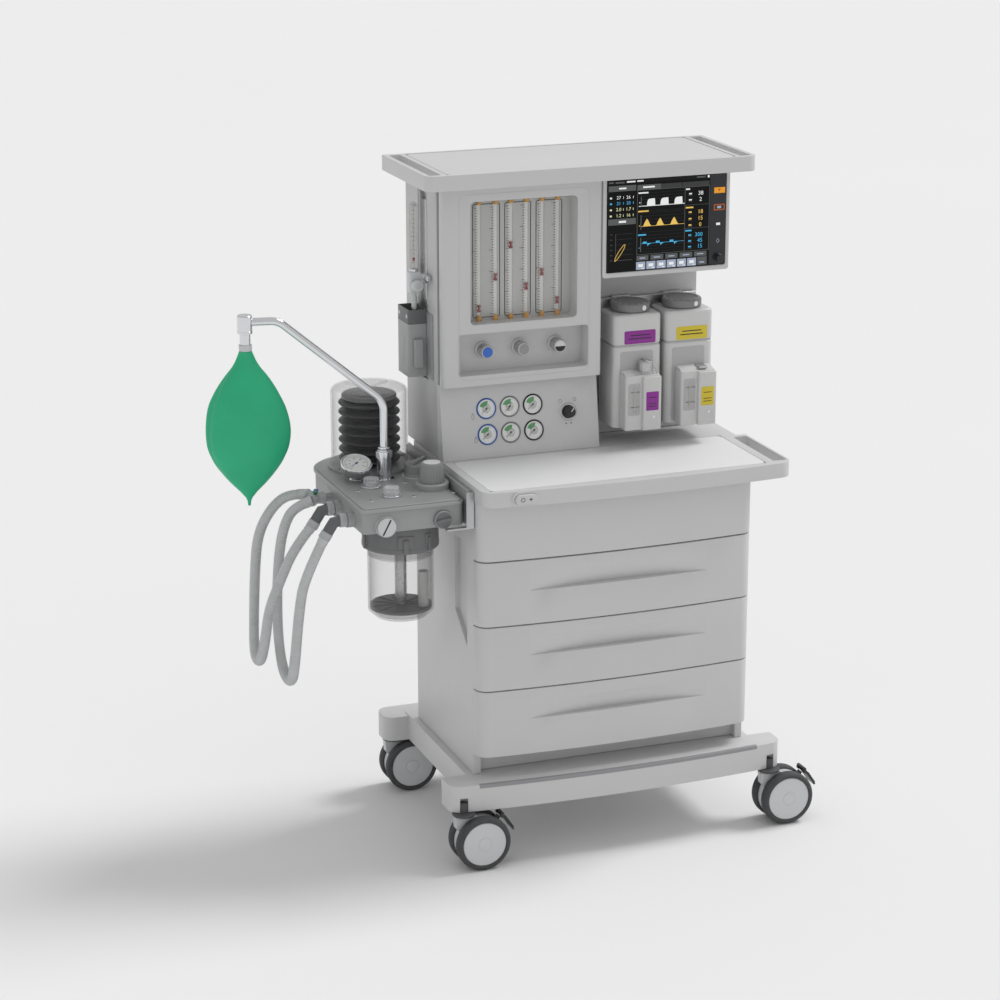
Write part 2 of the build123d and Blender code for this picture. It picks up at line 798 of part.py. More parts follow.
def make_selector_knob():
    """The small gas selector knob with a skirt, a grip and its shaft."""
    skirt = Cylinder(selector_radius * 1.15, 3, align=(Align.CENTER, Align.CENTER, Align.MIN))
    grip = Cylinder(selector_radius * 0.8, selector_length, align=(Align.CENTER, Align.CENTER, Align.MIN))
    shaft = Cylinder(selector_shaft_radius, 26, align=(Align.CENTER, Align.CENTER, Align.MAX))
    return on_gauge_panel(selector_x, selector_z) * Pos(0, 0, running_gap) * (skirt + grip + Pos(0, 0, 1) * shaft)


# ---------------------------------------------------------------- display
def make_display_housing():
    """The display's shell, as deep as the column's step, open in front for the screen."""
    top = tray_bottom - panel_gap
    body = block(display_left, display_right, fascia_front, column_recess_front - panel_gap, display_bottom, top)
    body = fillet(body.edges().filter_by(Axis.Y), display_corner)
    space = block(display_left + 5, display_right - 5, fascia_front + 5, column_recess_front - 6,
                  display_bottom + 5, top - 5)
    x0, x1, z0, z1 = screen_plan()
    opening = block(x0 - panel_gap, x1 + panel_gap, fascia_front - 1, fascia_front + 6,
                    z0 - panel_gap, z1 + panel_gap)
    return body - space - opening


def screen_plan():
    """The bezel's extent: x0, x1, z0, z1."""
    return (display_left + screen_margin, display_right - screen_margin,
            display_bottom + screen_margin + 2, tray_bottom - screen_margin - 2)


def make_display_screen():
    """The glass-fronted panel with a blind bore for the dial."""
    x0, x1, z0, z1 = screen_plan()
    panel = block(x0, x1, fascia_front - screen_thickness, fascia_front + 12, z0, z1)
    bore = rod_y(display_dial_x, display_dial_z, fascia_front - 10, fascia_front + 8, 3 + running_gap)
    return panel - bore


def make_display_dial():
    """The turn-and-press dial below the display's keys."""
    back = fascia_front - screen_thickness - running_gap
    dial = rod_y(display_dial_x, display_dial_z, back - display_dial_length, back, display_dial_radius)
    dial = fillet(dial.edges().group_by(Axis.Y)[0], 2)
    return dial + rod_y(display_dial_x, display_dial_z, back - 1, fascia_front + 6, 3)


# ---------------------------------------------------------------- vaporizers
def make_vaporizer_manifold():
    """The bar on the column that carries both vaporizers, with a hook block for each."""
    left = vaporizer_centres[0] - vaporizer_width / 2
    right = vaporizer_centres[-1] + vaporizer_width / 2
    back = column_recess_front - panel_gap
    bar = block(left, right, vaporizer_back + panel_gap, back, manifold_bottom, manifold_bottom + manifold_height)
    for x in vaporizer_centres:
        bar = bar + block(x - manifold_hook_width / 2, x + manifold_hook_width / 2,
                          vaporizer_back + panel_gap, back, manifold_bottom + manifold_height - 1,
                          vaporizer_top + 22)
    return bar


def make_vaporizer_body(x, with_cap):
    """A cast body with a shouldered top, and the filler block with its sight glass below."""
    half = vaporizer_width / 2
    body = rounded_block(x - half, x + half, vaporizer_front, vaporizer_back, vaporizer_bottom,
                         vaporizer_top, vaporizer_corner)
    body = chamfer(body.edges().group_by(Axis.Z)[-1], 8)
    panel = block(x - half + 26, x + half - 12, vaporizer_front - 1, vaporizer_front + 3,
                  vaporizer_bottom + 40, vaporizer_top - 76)
    front = vaporizer_front - filler_depth
    left = x - half + 7
    filler = block(left, left + filler_width, front, vaporizer_front + 4, vaporizer_bottom + 3,
                   vaporizer_bottom + filler_height)
    box_left = left + filler_width - filler_box_width
    box = block(box_left, left + filler_width, front - filler_box_extra, vaporizer_front + 4,
                vaporizer_bottom + 2, vaporizer_bottom + filler_height - 4)
    glass = block(left + 12, left + 30, front - 1, front + 3, vaporizer_bottom + 26,
                  vaporizer_bottom + filler_height - 26)
    shaft_hole = post(x, (vaporizer_front + vaporizer_back) / 2, vaporizer_top - 14, vaporizer_top + 1,
                      6 + running_gap)
    solid = body - panel + filler + box - glass - shaft_hole
    if with_cap:
        cap_x = box_left + 8
        cap_y = front + filler_cap_radius + 1
        solid = solid + post(cap_x, cap_y, vaporizer_bottom + filler_height - 1,
                             vaporizer_bottom + filler_height + filler_cap_height, filler_cap_radius)
    return solid


def make_vaporizer_dial(x):
    """The concentration dial on top of a vaporizer."""
    y = (vaporizer_front + vaporizer_back) / 2
    low = vaporizer_top + running_gap
    dial = post(x, y, low, low + vaporizer_dial_height, vaporizer_dial_radius)
    dial = fillet(dial.edges().group_by(Axis.Z)[-1], 3)
    shaft = post(x, y, vaporizer_top - 12, low + 1, 6)
    return dial + shaft


# ---------------------------------------------------------------- auxiliary flowmeter and holder
def make_aux_flowmeter():
    """A small oxygen flowmeter on the column's side groove: bracket, block, tube and outlet."""
    tube = post(aux_x, aux_y, aux_tube_bottom - 1, aux_tube_top, aux_tube_radius)
    tube = tube - post(aux_x, aux_y, aux_tube_bottom + 4, aux_tube_top - 6, aux_tube_radius - 2)
    half = aux_block_width / 2
    low = aux_tube_bottom - aux_block_height
    body = rounded_block(aux_x - half, aux_x + half, aux_y - half, aux_y + half, low, aux_tube_bottom, 4)
    arm_z = low + aux_block_height * 0.6
    arm = block(aux_x, column_left + groove_depth - panel_gap, aux_y - 8, aux_y + 8, arm_z - 8, arm_z + 8)
    plate = block(column_left + groove_depth - panel_gap - 5, column_left + groove_depth - panel_gap,
                  groove_centre_y - groove_width / 2 + 2, groove_centre_y + groove_width / 2 - 2,
                  low - 30, aux_tube_top)
    barb = post(aux_x, aux_y, low - 36, low + 1, 5) + post(aux_x, aux_y, low - 20, low - 14, 6.5)
    nozzle_x = column_left - aux_nozzle_radius - 1.5
    nozzle = rod_y(nozzle_x, low + 34, aux_y - 44, aux_y - 8, aux_nozzle_radius)
    link = block(aux_x, nozzle_x, aux_y - 12, aux_y - 4, low + 28, low + 40)
    solid = tube + body + arm + plate + barb + nozzle + link
    shaft = rod_y(aux_x, aux_knob_z(), aux_y - half - 1, aux_y - half + 10, aux_shaft_radius + running_gap)
    return solid - shaft


def aux_knob_z():
    """The height of the auxiliary flow knob's axis."""
    return aux_tube_bottom - aux_block_height * 0.6


def make_aux_flow_knob():
    """The round knob on the front of the auxiliary flowmeter's block."""
    back = aux_y - aux_block_width / 2 - running_gap
    knob = rod_y(aux_x, aux_knob_z(), back - aux_knob_length, back, aux_knob_radius)
    knob = fillet(knob.edges().group_by(Axis.Y)[0], 1.5)
    return knob + rod_y(aux_x, aux_knob_z(), back - 1, back + 8, aux_shaft_radius)


def make_accessory_holder():
    """An open-topped holder with a hook, screwed to the column's left side."""
    outer_left = column_left - holder_width
    box = block(outer_left, column_left - panel_gap, holder_front, holder_back, holder_bottom, holder_top)
    box = box - block(outer_left + holder_wall, column_left - panel_gap - holder_wall,
                      holder_front + holder_wall, holder_back - holder_wall,
                      holder_bottom + holder_wall, holder_top + 1)
    plate = block(column_left - panel_gap - 2, column_left - panel_gap, holder_front - 34, holder_back + 8,
                  holder_bottom - 2, holder_top - 6)
    peg = block(outer_left + 10, outer_left + 30, holder_front - 10, holder_front + 1, holder_bottom + 20,
                holder_bottom + 80)
    return box + plate + peg


# ---------------------------------------------------------------- breathing system
def block_outline(grow):
    """The breathing block's plan, its rear left corner swung round the bellows."""
    x0, x1 = block_left - grow, block_right
    y0, y1 = block_front - grow, block_back + grow
    face = make_face(Polyline((x0, y0), (x0, y1), (x1, y1), (x1, y0), close=True))
    by_place = face.vertices().sort_by(lambda v: v.X - v.Y)
    face = fillet(by_place[0], block_round)
    rest = [v for v in face.vertices() if v.Y < y0 + 1]
    return fillet(rest, block_corner)


def make_breathing_block():
    """The gas block's body, hollow above, with its hose ports and the canister collar below."""
    body = Pos(0, 0, block_bottom) * extrude(block_outline(0), block_height)
    space = block(block_left + 14, block_right - 14, block_front + 14, block_back - block_round,
                  block_bottom + block_wall, block_bottom + block_height - 4)
    body = body - space
    for y, z in port_places:
        collar = rod_x(y, z, block_left - 14, block_left + 5, port_collar_radius)
        body = body + collar
        body = body - rod_x(y, z, block_left - 15, block_left + 4, port_radius + 0.3)
    peg = rod_x(parking_y, parking_z, block_left - 22, block_left + 2, port_radius - 2)
    body = body + peg
    for x, z, radius in coin_screw_places:
        body = body + rod_y(x, z, block_front - coin_screw_length, block_front + 4, radius)
    collar = post(canister_x, canister_y, block_bottom - collar_height, block_bottom - panel_gap, collar_radius)
    collar = collar - post(canister_x, canister_y, block_bottom - collar_height - 1,
                           block_bottom - collar_height + jar_engagement + 6, collar_radius - collar_wall)
    return Compound(children=[body, collar])


def make_block_cover():
    """The lid plate with the bellows' seat and the valve rings."""
    top = cover_top
    plate = Pos(0, 0, top - cover_thickness) * extrude(block_outline(cover_lip), cover_thickness)
    plate = fillet(plate.faces().sort_by(Axis.Z)[-1].edges(), 2.5)
    seat = post(dome_x, dome_y, top - 1, top + dome_flange_height, dome_radius + dome_flange + 3)
    seat = seat - post(dome_x, dome_y, top, top + dome_flange_height + 1, dome_radius + panel_gap)
    foot = post(dome_x, dome_y, top - 1, top + bellows_foot - 2, bellows_root_radius)
    ring = post(apl_x, apl_y, top - 1, top + apl_ring_height, apl_ring_radius)
    cover = plate + seat + foot + ring
    cover = cover - post(apl_x, apl_y, top + 2, top + apl_ring_height + 1, 6 + running_gap)
    return cover - post(switch_x, switch_y, top - 6, top + 1, 6 + running_gap)


def make_bracket():
    """The folded plate that hangs the breathing block on the cabinet."""
    left = block_right + panel_gap
    right = -half_cabinet - 1 - panel_gap
    top = cabinet_top + 20
    plate = block(right - bracket_thickness, right, bracket_front, bracket_back, block_bottom - 2, top)
    spine = block(left, left + bracket_thickness, bracket_front, bracket_back, block_bottom - 2, cover_top - 3)
    shelf = block(left, right, bracket_front, bracket_back, block_bottom - 5, block_bottom - 2)
    face = block(left - 3, right, bracket_front - bracket_thickness, bracket_front, block_bottom - 5, top)
    tongue = block(left - bracket_tongue, left, bracket_front - bracket_thickness, bracket_front + 9,
                   block_bottom - 5, block_bottom - 1)
    return plate + spine + shelf + face + tongue


def make_bellows_dome():
    """The clear bell over the bellows, closed at the top."""
    low = cover_top + panel_gap
    top = cover_top + dome_height
    outer = post(dome_x, dome_y, low, top, dome_radius)
    outer = fillet(outer.edges().group_by(Axis.Z)[-1], 10)
    inner = post(dome_x, dome_y, low - 1, top - dome_wall, dome_radius - dome_wall)
    inner = fillet(inner.edges().group_by(Axis.Z)[-1], 7)
    return outer - inner


def make_bellows_folds():
    """The black bellows as a turned stack of pleats, closed by its foot and its disc."""
    low = cover_top + bellows_foot
    pitch = bellows_height / bellows_pleats
    profile = [(bellows_root_radius - 6, low)]
    for i in range(bellows_pleats):
        z = low + i * pitch
        profile += [(bellows_root_radius, z + pitch * 0.08), (bellows_radius, z + pitch * 0.4),
                    (bellows_radius, z + pitch * 0.6), (bellows_root_radius, z + pitch * 0.92)]
    profile.append((bellows_root_radius - 6, low + bellows_height))
    return Pos(dome_x, dome_y, 0) * turned(profile)


def make_bellows_disc():
    """The rigid plate on top of the bellows."""
    low = cover_top + bellows_foot + bellows_height + panel_gap
    disc = post(dome_x, dome_y, low, low + bellows_disc_thickness, bellows_disc_radius)
    return fillet(disc.edges().group_by(Axis.Z)[-1], 2)


def make_check_valve_domes():
    """The two clear caps over the check valves."""
    domes = []
    for x, y in valve_places:
        cap = post(x, y, cover_top + panel_gap, cover_top + valve_height, valve_radius)
        cap = fillet(cap.edges().group_by(Axis.Z)[-1], 3)
        space = post(x, y, cover_top, cover_top + valve_height - 2.5, valve_radius - 2.5)
        flange = post(x, y, cover_top + panel_gap, cover_top + 4, valve_radius + 4)
        domes.append(cap + flange - space)
    return Compound(children=domes)


def make_airway_gauge():
    """The airway pressure gauge, its face tilted towards the user."""
    tilt = Pos(airway_gauge_x, airway_gauge_y, cover_top + 16) * Rot(airway_gauge_tilt, 0, 0)
    case = Cylinder(airway_gauge_radius, airway_gauge_depth, align=(Align.CENTER, Align.CENTER, Align.MIN))
    dial = Pos(0, 0, airway_gauge_depth - 2) * Cylinder(airway_gauge_radius - 3, 4,
                                                       align=(Align.CENTER, Align.CENTER, Align.MIN))
    stalk = post(airway_gauge_x, airway_gauge_y, cover_top + panel_gap, cover_top + 24, 12)
    above = Pos(0, 0, airway_gauge_depth / 2) * Box(80, 80, 40, align=(Align.CENTER, Align.CENTER, Align.MIN))
    return tilt * (case - dial) + (stalk - tilt * above)


def make_apl_knob():
    """The ribbed pressure-limiting knob on its ring."""
    low = cover_top + apl_ring_height + running_gap
    knob = turned(((0, low), (apl_radius, low), (apl_top_radius, low + apl_height),
                   (0, low + apl_height)))
    shaft = Pos(0, 0, cover_top + 3) * Cylinder(6, low - cover_top - 2, align=(Align.CENTER, Align.CENTER, Align.MIN))
    return Pos(apl_x, apl_y, 0) * (knob + shaft)


def make_bag_vent_switch():
    """The bag or ventilator change-over switch, a drum with a pointed grip bar."""
    low = cover_top + running_gap
    drum = post(switch_x, switch_y, low, low + switch_height, switch_radius)
    shaft = post(switch_x, switch_y, cover_top - 5, low + 1, 6)
    bar = block(-switch_radius + 4, switch_radius + switch_grip, -5, 5, switch_height - 4, switch_height + 7)
    return drum + shaft + Pos(switch_x, switch_y, low) * Rot(0, 0, 40) * bar


def make_canister_jar():
    """The clear jar with its grid plate, riser tube and sight tube."""
    top = block_bottom - collar_height + jar_engagement
    outer = post(canister_x, canister_y, jar_bottom, top, jar_radius)
    outer = chamfer(outer.edges().group_by(Axis.Z)[0], jar_chamfer)
    grid_z = jar_bottom + jar_grid_height
    space = post(canister_x, canister_y, grid_z + jar_grid_thickness, top + 1, jar_radius - jar_wall)
    below = post(canister_x, canister_y, jar_bottom + jar_wall, grid_z, jar_radius - jar_chamfer - jar_wall)
    jar = outer - space - below
    riser = post(canister_x, canister_y, grid_z, top - 4, jar_tube_radius)
    sight = post(canister_x + 38, canister_y - 30, grid_z, jar_bottom + 98, 11)
    return jar + riser + sight


# ---------------------------------------------------------------- bag arm and bag
def arm_frame():
    """The socket's axis, with +X along the arm's reach."""
    return Pos(socket_x, socket_y, 0) * Rot(0, 0, 180 - arm_turn)


def make_arm_socket():
    """The chrome socket that the bag arm turns in."""
    sleeve = post(socket_x, socket_y, cover_top - 1, socket_top, socket_radius)
    rim = post(socket_x, socket_y, socket_top - 16, socket_top - 4, socket_radius + 2)
    return sleeve + rim - post(socket_x, socket_y, cover_top + 6, socket_top + 1, arm_pipe_radius + running_gap)


def make_bag_arm():
    """One bent tube from the socket to the head that the bag hangs from."""
    start = (0, 0, cover_top + 12)
    knee = (0, 0, arm_knee_height)
    shoulder = (arm_reach - arm_flat, 0, arm_top)
    end = (arm_reach, 0, arm_top)
    path = FilletPolyline(start, knee, shoulder, end, radius=arm_bend)
    pipe = sweep(Plane(origin=start, z_dir=(0, 0, 1)) * Circle(arm_pipe_radius), path=path)
    collar = Pos(0, 0, socket_top + running_gap) * Cylinder(arm_pipe_radius + 4, 5,
                                                        align=(Align.CENTER, Align.CENTER, Align.MIN))
    head_low = arm_top - arm_head_height * 0.6
    head = post(arm_reach + 4, 0, head_low, head_low + arm_head_height, arm_head_radius)
    neck = post(arm_reach + 4, 0, head_low - arm_neck_length, head_low + 1, arm_neck_radius)
    ring_low = head_low - arm_neck_length - arm_ring_height
    ring = post(arm_reach + 4, 0, ring_low, ring_low + arm_ring_height + 1, arm_ring_radius)
    return arm_frame() * (pipe + collar + head + neck + ring)


def bag_top():
    """Where the bag's mouth meets the arm's ring."""
    return arm_top - arm_head_height * 0.6 - arm_neck_length - arm_ring_height


def make_breathing_bag():
    """A lens-shaped bag: elliptical sections that swell and close again."""
    top = bag_top() - panel_gap
    sections = []
    for share, wide, thick in ((0.0, 0.15, 0.26), (0.2, 0.52, 0.55), (0.5, 1.0, 1.0),
                               (0.78, 0.62, 0.66), (1.0, 0.05, 0.09)):
        plane = Plane(origin=(arm_reach + 4, 0, top - share * bag_length), z_dir=(0, 0, 1))
        sections.append(plane * Ellipse(bag_width * wide / 2, bag_thickness * thick / 2))
    bag = loft(sections)
    tail = post(arm_reach + 4, 0, top - bag_length - bag_tail, top - bag_length + 1, 3)
    return arm_frame() * (bag + tail)


# ---------------------------------------------------------------- hoses
def corner_radii(points):
    """The largest arc that each corner's two runs allow."""
    vectors = [Vector(*p) for p in points]
    radii = []
    for before, here, after in zip(vectors, vectors[1:], vectors[2:]):
        turn = (here - before).get_angle(after - here)
        shorter = min((here - before).length, (after - here).length)
        radii.append(0.45 * shorter / tan(radians(turn) / 2))
    return radii


def make_hose(name, points):
    """A round tube along straight runs joined by tangent arcs."""
    radii = corner_radii(points)
    path = FilletPolyline(*points, radius=radii)
    start = Vector(*points[0])
    direction = Vector(*points[1]) - start
    tube = sweep(Plane(origin=start, z_dir=direction) * Circle(hose_diameter / 2), path=path)
    print(name, "length", round(path.length), "radii", [round(r) for r in radii],
          "volume ratio", round(tube.volume / (path.length * pi * hose_diameter ** 2 / 4), 4))
    return tube


def fitting_along(a, b, radius):
    """A cylinder from one point to another."""
    start, end = Vector(*a), Vector(*b)
    length = (end - start).length
    cylinder = Cylinder(radius, length, align=(Align.CENTER, Align.CENTER, Align.MIN))
    return Plane(origin=start, z_dir=end - start) * cylinder


def make_elbow(port, hose_end):
    """A bent connector from a port to the start of a hose."""
    y, z = port
    mouth = (block_left - 15, y, z)
    corner = (block_left - elbow_run, y, z)
    plug = fitting_along((block_left - 2, y, z), mouth, port_radius)
    first = fitting_along(mouth, corner, elbow_radius)
    second = fitting_along(corner, hose_end, elbow_radius)
    knuckle = Pos(*corner) * Sphere(elbow_radius)
    flange = fitting_along(mouth, (mouth[0] - 4, y, z), elbow_radius + 3)
    return plug + first + second + knuckle + flange


def make_hose_fittings():
    """Both elbows, and the Y-piece parked on the block's peg."""
    crotch = (block_left - 36, parking_y, parking_z)
    socket = fitting_along((block_left - 2, parking_y, parking_z), crotch, port_radius + 1.5)
    socket = socket - fitting_along((block_left, parking_y, parking_z), (block_left - 22.5, parking_y, parking_z),
                                    port_radius - 2 + 0.3)
    branches = [fitting_along(crotch, route[0], port_radius) for route in (inspiratory_route, expiratory_route)]
    wye = socket + branches[0] + branches[1] + Pos(*crotch) * Sphere(port_radius + 1.5)
    cap = fitting_along(crotch, (crotch[0] - 2, crotch[1], crotch[2] + 22), 5)
    wye = wye + cap
    elbows = [make_elbow(port, route[-1]) for port, route in
              zip(port_places, (inspiratory_route, expiratory_route))]
    return Compound(children=[wye] + elbows)


# ---------------------------------------------------------------- assembly
def build():
    """Every piece by name, in the modelling frame."""
    nodes["base_frame"] = make_base_frame()
    nodes["worktop_mat"] = make_mat(worktop_mat(), worktop_height)
    nodes["tray_mat"] = make_mat(tray_mat(), overall_height)
    nodes["cabinet_shell"] = make_cabinet_shell()
    nodes["worktop"] = make_worktop()
    nodes["top_tray"] = make_top_tray()
    nodes["column_shell"] = make_column_shell()
    nodes["flowmeter_fascia"] = make_flowmeter_fascia()
    nodes["flow_tube_rack"] = make_flow_tube_rack()
    nodes["flowmeter_window"] = make_flowmeter_window()
    nodes["gauge_panel"] = make_gauge_panel()
    nodes["pressure_gauges"] = make_pressure_gauges()
    nodes["selector_knob"] = make_selector_knob()
    nodes["display_housing"] = make_display_housing()
    nodes["display_screen"] = make_display_screen()
    nodes["display_dial"] = make_display_dial()
    nodes["vaporizer_manifold"] = make_vaporizer_manifold()
    for name, x, with_cap in zip(("left", "right"), vaporizer_centres, (True, False)):
        nodes["vaporizer_" + name + "_body"] = make_vaporizer_body(x, with_cap)
        nodes["vaporizer_" + name + "_dial"] = make_vaporizer_dial(x)
    for number, span in enumerate(reversed(drawer_spans()), 1):
        nodes["drawer_" + str(number)] = make_drawer(*span)
    for gas, x in enumerate(flow_knob_xs()):
        nodes["flow_knob_" + str(gas + 1)] = make_flow_knob(x)
        nodes["flow_floats_" + str(gas + 1)] = make_flow_floats(gas)
    nodes["oxygen_flush_button"] = make_flush_button()
    nodes["aux_flowmeter"] = make_aux_flowmeter()
    nodes["aux_flow_knob"] = make_aux_flow_knob()
    nodes["accessory_holder"] = make_accessory_holder()
    nodes["breathing_block"] = make_breathing_block()
    nodes["breathing_block_cover"] = make_block_cover() + make_arm_socket()
    nodes["block_bracket"] = make_bracket()
    nodes["bellows_dome"] = make_bellows_dome()
    nodes["bellows_folds"] = make_bellows_folds()
    nodes["bellows_disc"] = make_bellows_disc()
    nodes["check_valve_domes"] = make_check_valve_domes()
    nodes["airway_gauge"] = make_airway_gauge()
    nodes["apl_knob"] = make_apl_knob()
    nodes["bag_vent_switch"] = make_bag_vent_switch()
    nodes["canister_jar"] = make_canister_jar()
    nodes["bag_arm"] = make_bag_arm()
    nodes["breathing_bag"] = make_breathing_bag()
    nodes["hose_fittings"] = make_hose_fittings()
    nodes["inspiratory_hose"] = make_hose("inspiratory_hose", inspiratory_route)
    nodes["expiratory_hose"] = make_hose("expiratory_hose", expiratory_route)
    corners = ("front_left", "front_right", "rear_left", "rear_right")
    for name, (x, y) in zip(corners, caster_places()):
        nodes["caster_housing_" + name] = make_caster_housing(x, y)
        nodes["caster_wheels_" + name] = make_caster_wheels(x, y)
        if name.startswith("front"):
            nodes["caster_housing_" + name] = nodes["caster_housing_" + name] + make_pedal_arm(x, y)
            nodes["brake_pedal_" + name] = make_brake_pedal(x, y)


def footprint_origin():
    """The middle of the footprint of everything but the hoses, on the floor."""
    boxes = [shape.bounding_box() for name, shape in nodes.items() if not name.endswith("_hose")]
    x = (min(b.min.X for b in boxes) + max(b.max.X for b in boxes)) / 2
    y = (min(b.min.Y for b in boxes) + max(b.max.Y for b in boxes)) / 2
    print("origin", round(x, 3), round(y, 3), "lowest", round(min(b.min.Z for b in boxes), 3),
          "highest", round(max(b.max.Z for b in boxes), 3))
    return x, y


build()
os.makedirs("parts", exist_ok=True)
origin_x, origin_y = footprint_origin()
for node_name, node_shape in nodes.items():
    export_step(Pos(-origin_x, -origin_y, 0) * node_shape, "parts/" + node_name + ".step")
print(len(nodes), "nodes")
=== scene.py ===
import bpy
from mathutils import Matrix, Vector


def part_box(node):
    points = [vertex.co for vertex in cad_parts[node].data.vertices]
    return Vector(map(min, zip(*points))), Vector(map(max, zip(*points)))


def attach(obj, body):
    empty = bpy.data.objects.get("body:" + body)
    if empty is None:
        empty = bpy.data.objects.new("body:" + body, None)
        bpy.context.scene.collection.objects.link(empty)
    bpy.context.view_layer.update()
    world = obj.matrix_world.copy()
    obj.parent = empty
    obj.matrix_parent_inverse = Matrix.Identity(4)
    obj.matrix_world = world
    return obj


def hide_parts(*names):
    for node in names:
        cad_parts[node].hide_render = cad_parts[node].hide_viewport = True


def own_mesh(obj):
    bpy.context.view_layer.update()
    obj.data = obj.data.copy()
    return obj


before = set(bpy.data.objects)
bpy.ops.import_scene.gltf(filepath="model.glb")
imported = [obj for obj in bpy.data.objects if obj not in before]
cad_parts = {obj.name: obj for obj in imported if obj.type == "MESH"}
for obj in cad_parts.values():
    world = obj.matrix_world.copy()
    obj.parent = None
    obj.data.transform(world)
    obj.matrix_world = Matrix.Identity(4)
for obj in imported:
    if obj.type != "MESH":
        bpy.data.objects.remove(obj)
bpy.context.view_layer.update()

from math import atan2, cos, degrees, hypot, pi, radians, sin, sqrt, tan

import bmesh
import bpy
from mathutils import Matrix, Vector

# ---------------------------------------------------------------- camera and machine frame
# The machine is laid out in millimetres from the cabinet's centre plane, from the plane of the
# drawer fronts' ends, and from the floor. The camera stands in front of it, to the left and above.
cabinet_low, cabinet_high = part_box("cabinet_shell")
CABINET_BACK = 382
machine_x = (cabinet_low[0] + cabinet_high[0]) / 2
machine_y = cabinet_high[1] - CABINET_BACK / 1000
TO_METRES = Matrix.Translation((machine_x, machine_y, 0)) @ Matrix.Scale(0.001, 4)
FROM_METRES = TO_METRES.inverted()


def at(x, y, z):
    """A point of the machine, given in millimetres, in the scene's metres."""
    return TO_METRES @ Vector((x, y, z))


def placed(name, data):
    """A new object in the scene."""
    made = bpy.data.objects.new(name, data)
    bpy.context.scene.collection.objects.link(made)
    return made


camera = placed("camera", bpy.data.cameras.new("camera"))
bpy.context.scene.camera = camera
CAMERA_SPOT = (-2134.7, -5010.9, 2362.7)
LOOK_DOWN, LOOK_RIGHT = 16.58, 20.546
camera.data.lens = 101.15
camera.data.sensor_width = 36
camera.data.clip_end = 60
camera.location = at(*CAMERA_SPOT)
camera.rotation_euler = (radians(90 - LOOK_DOWN), 0, radians(-LOOK_RIGHT))


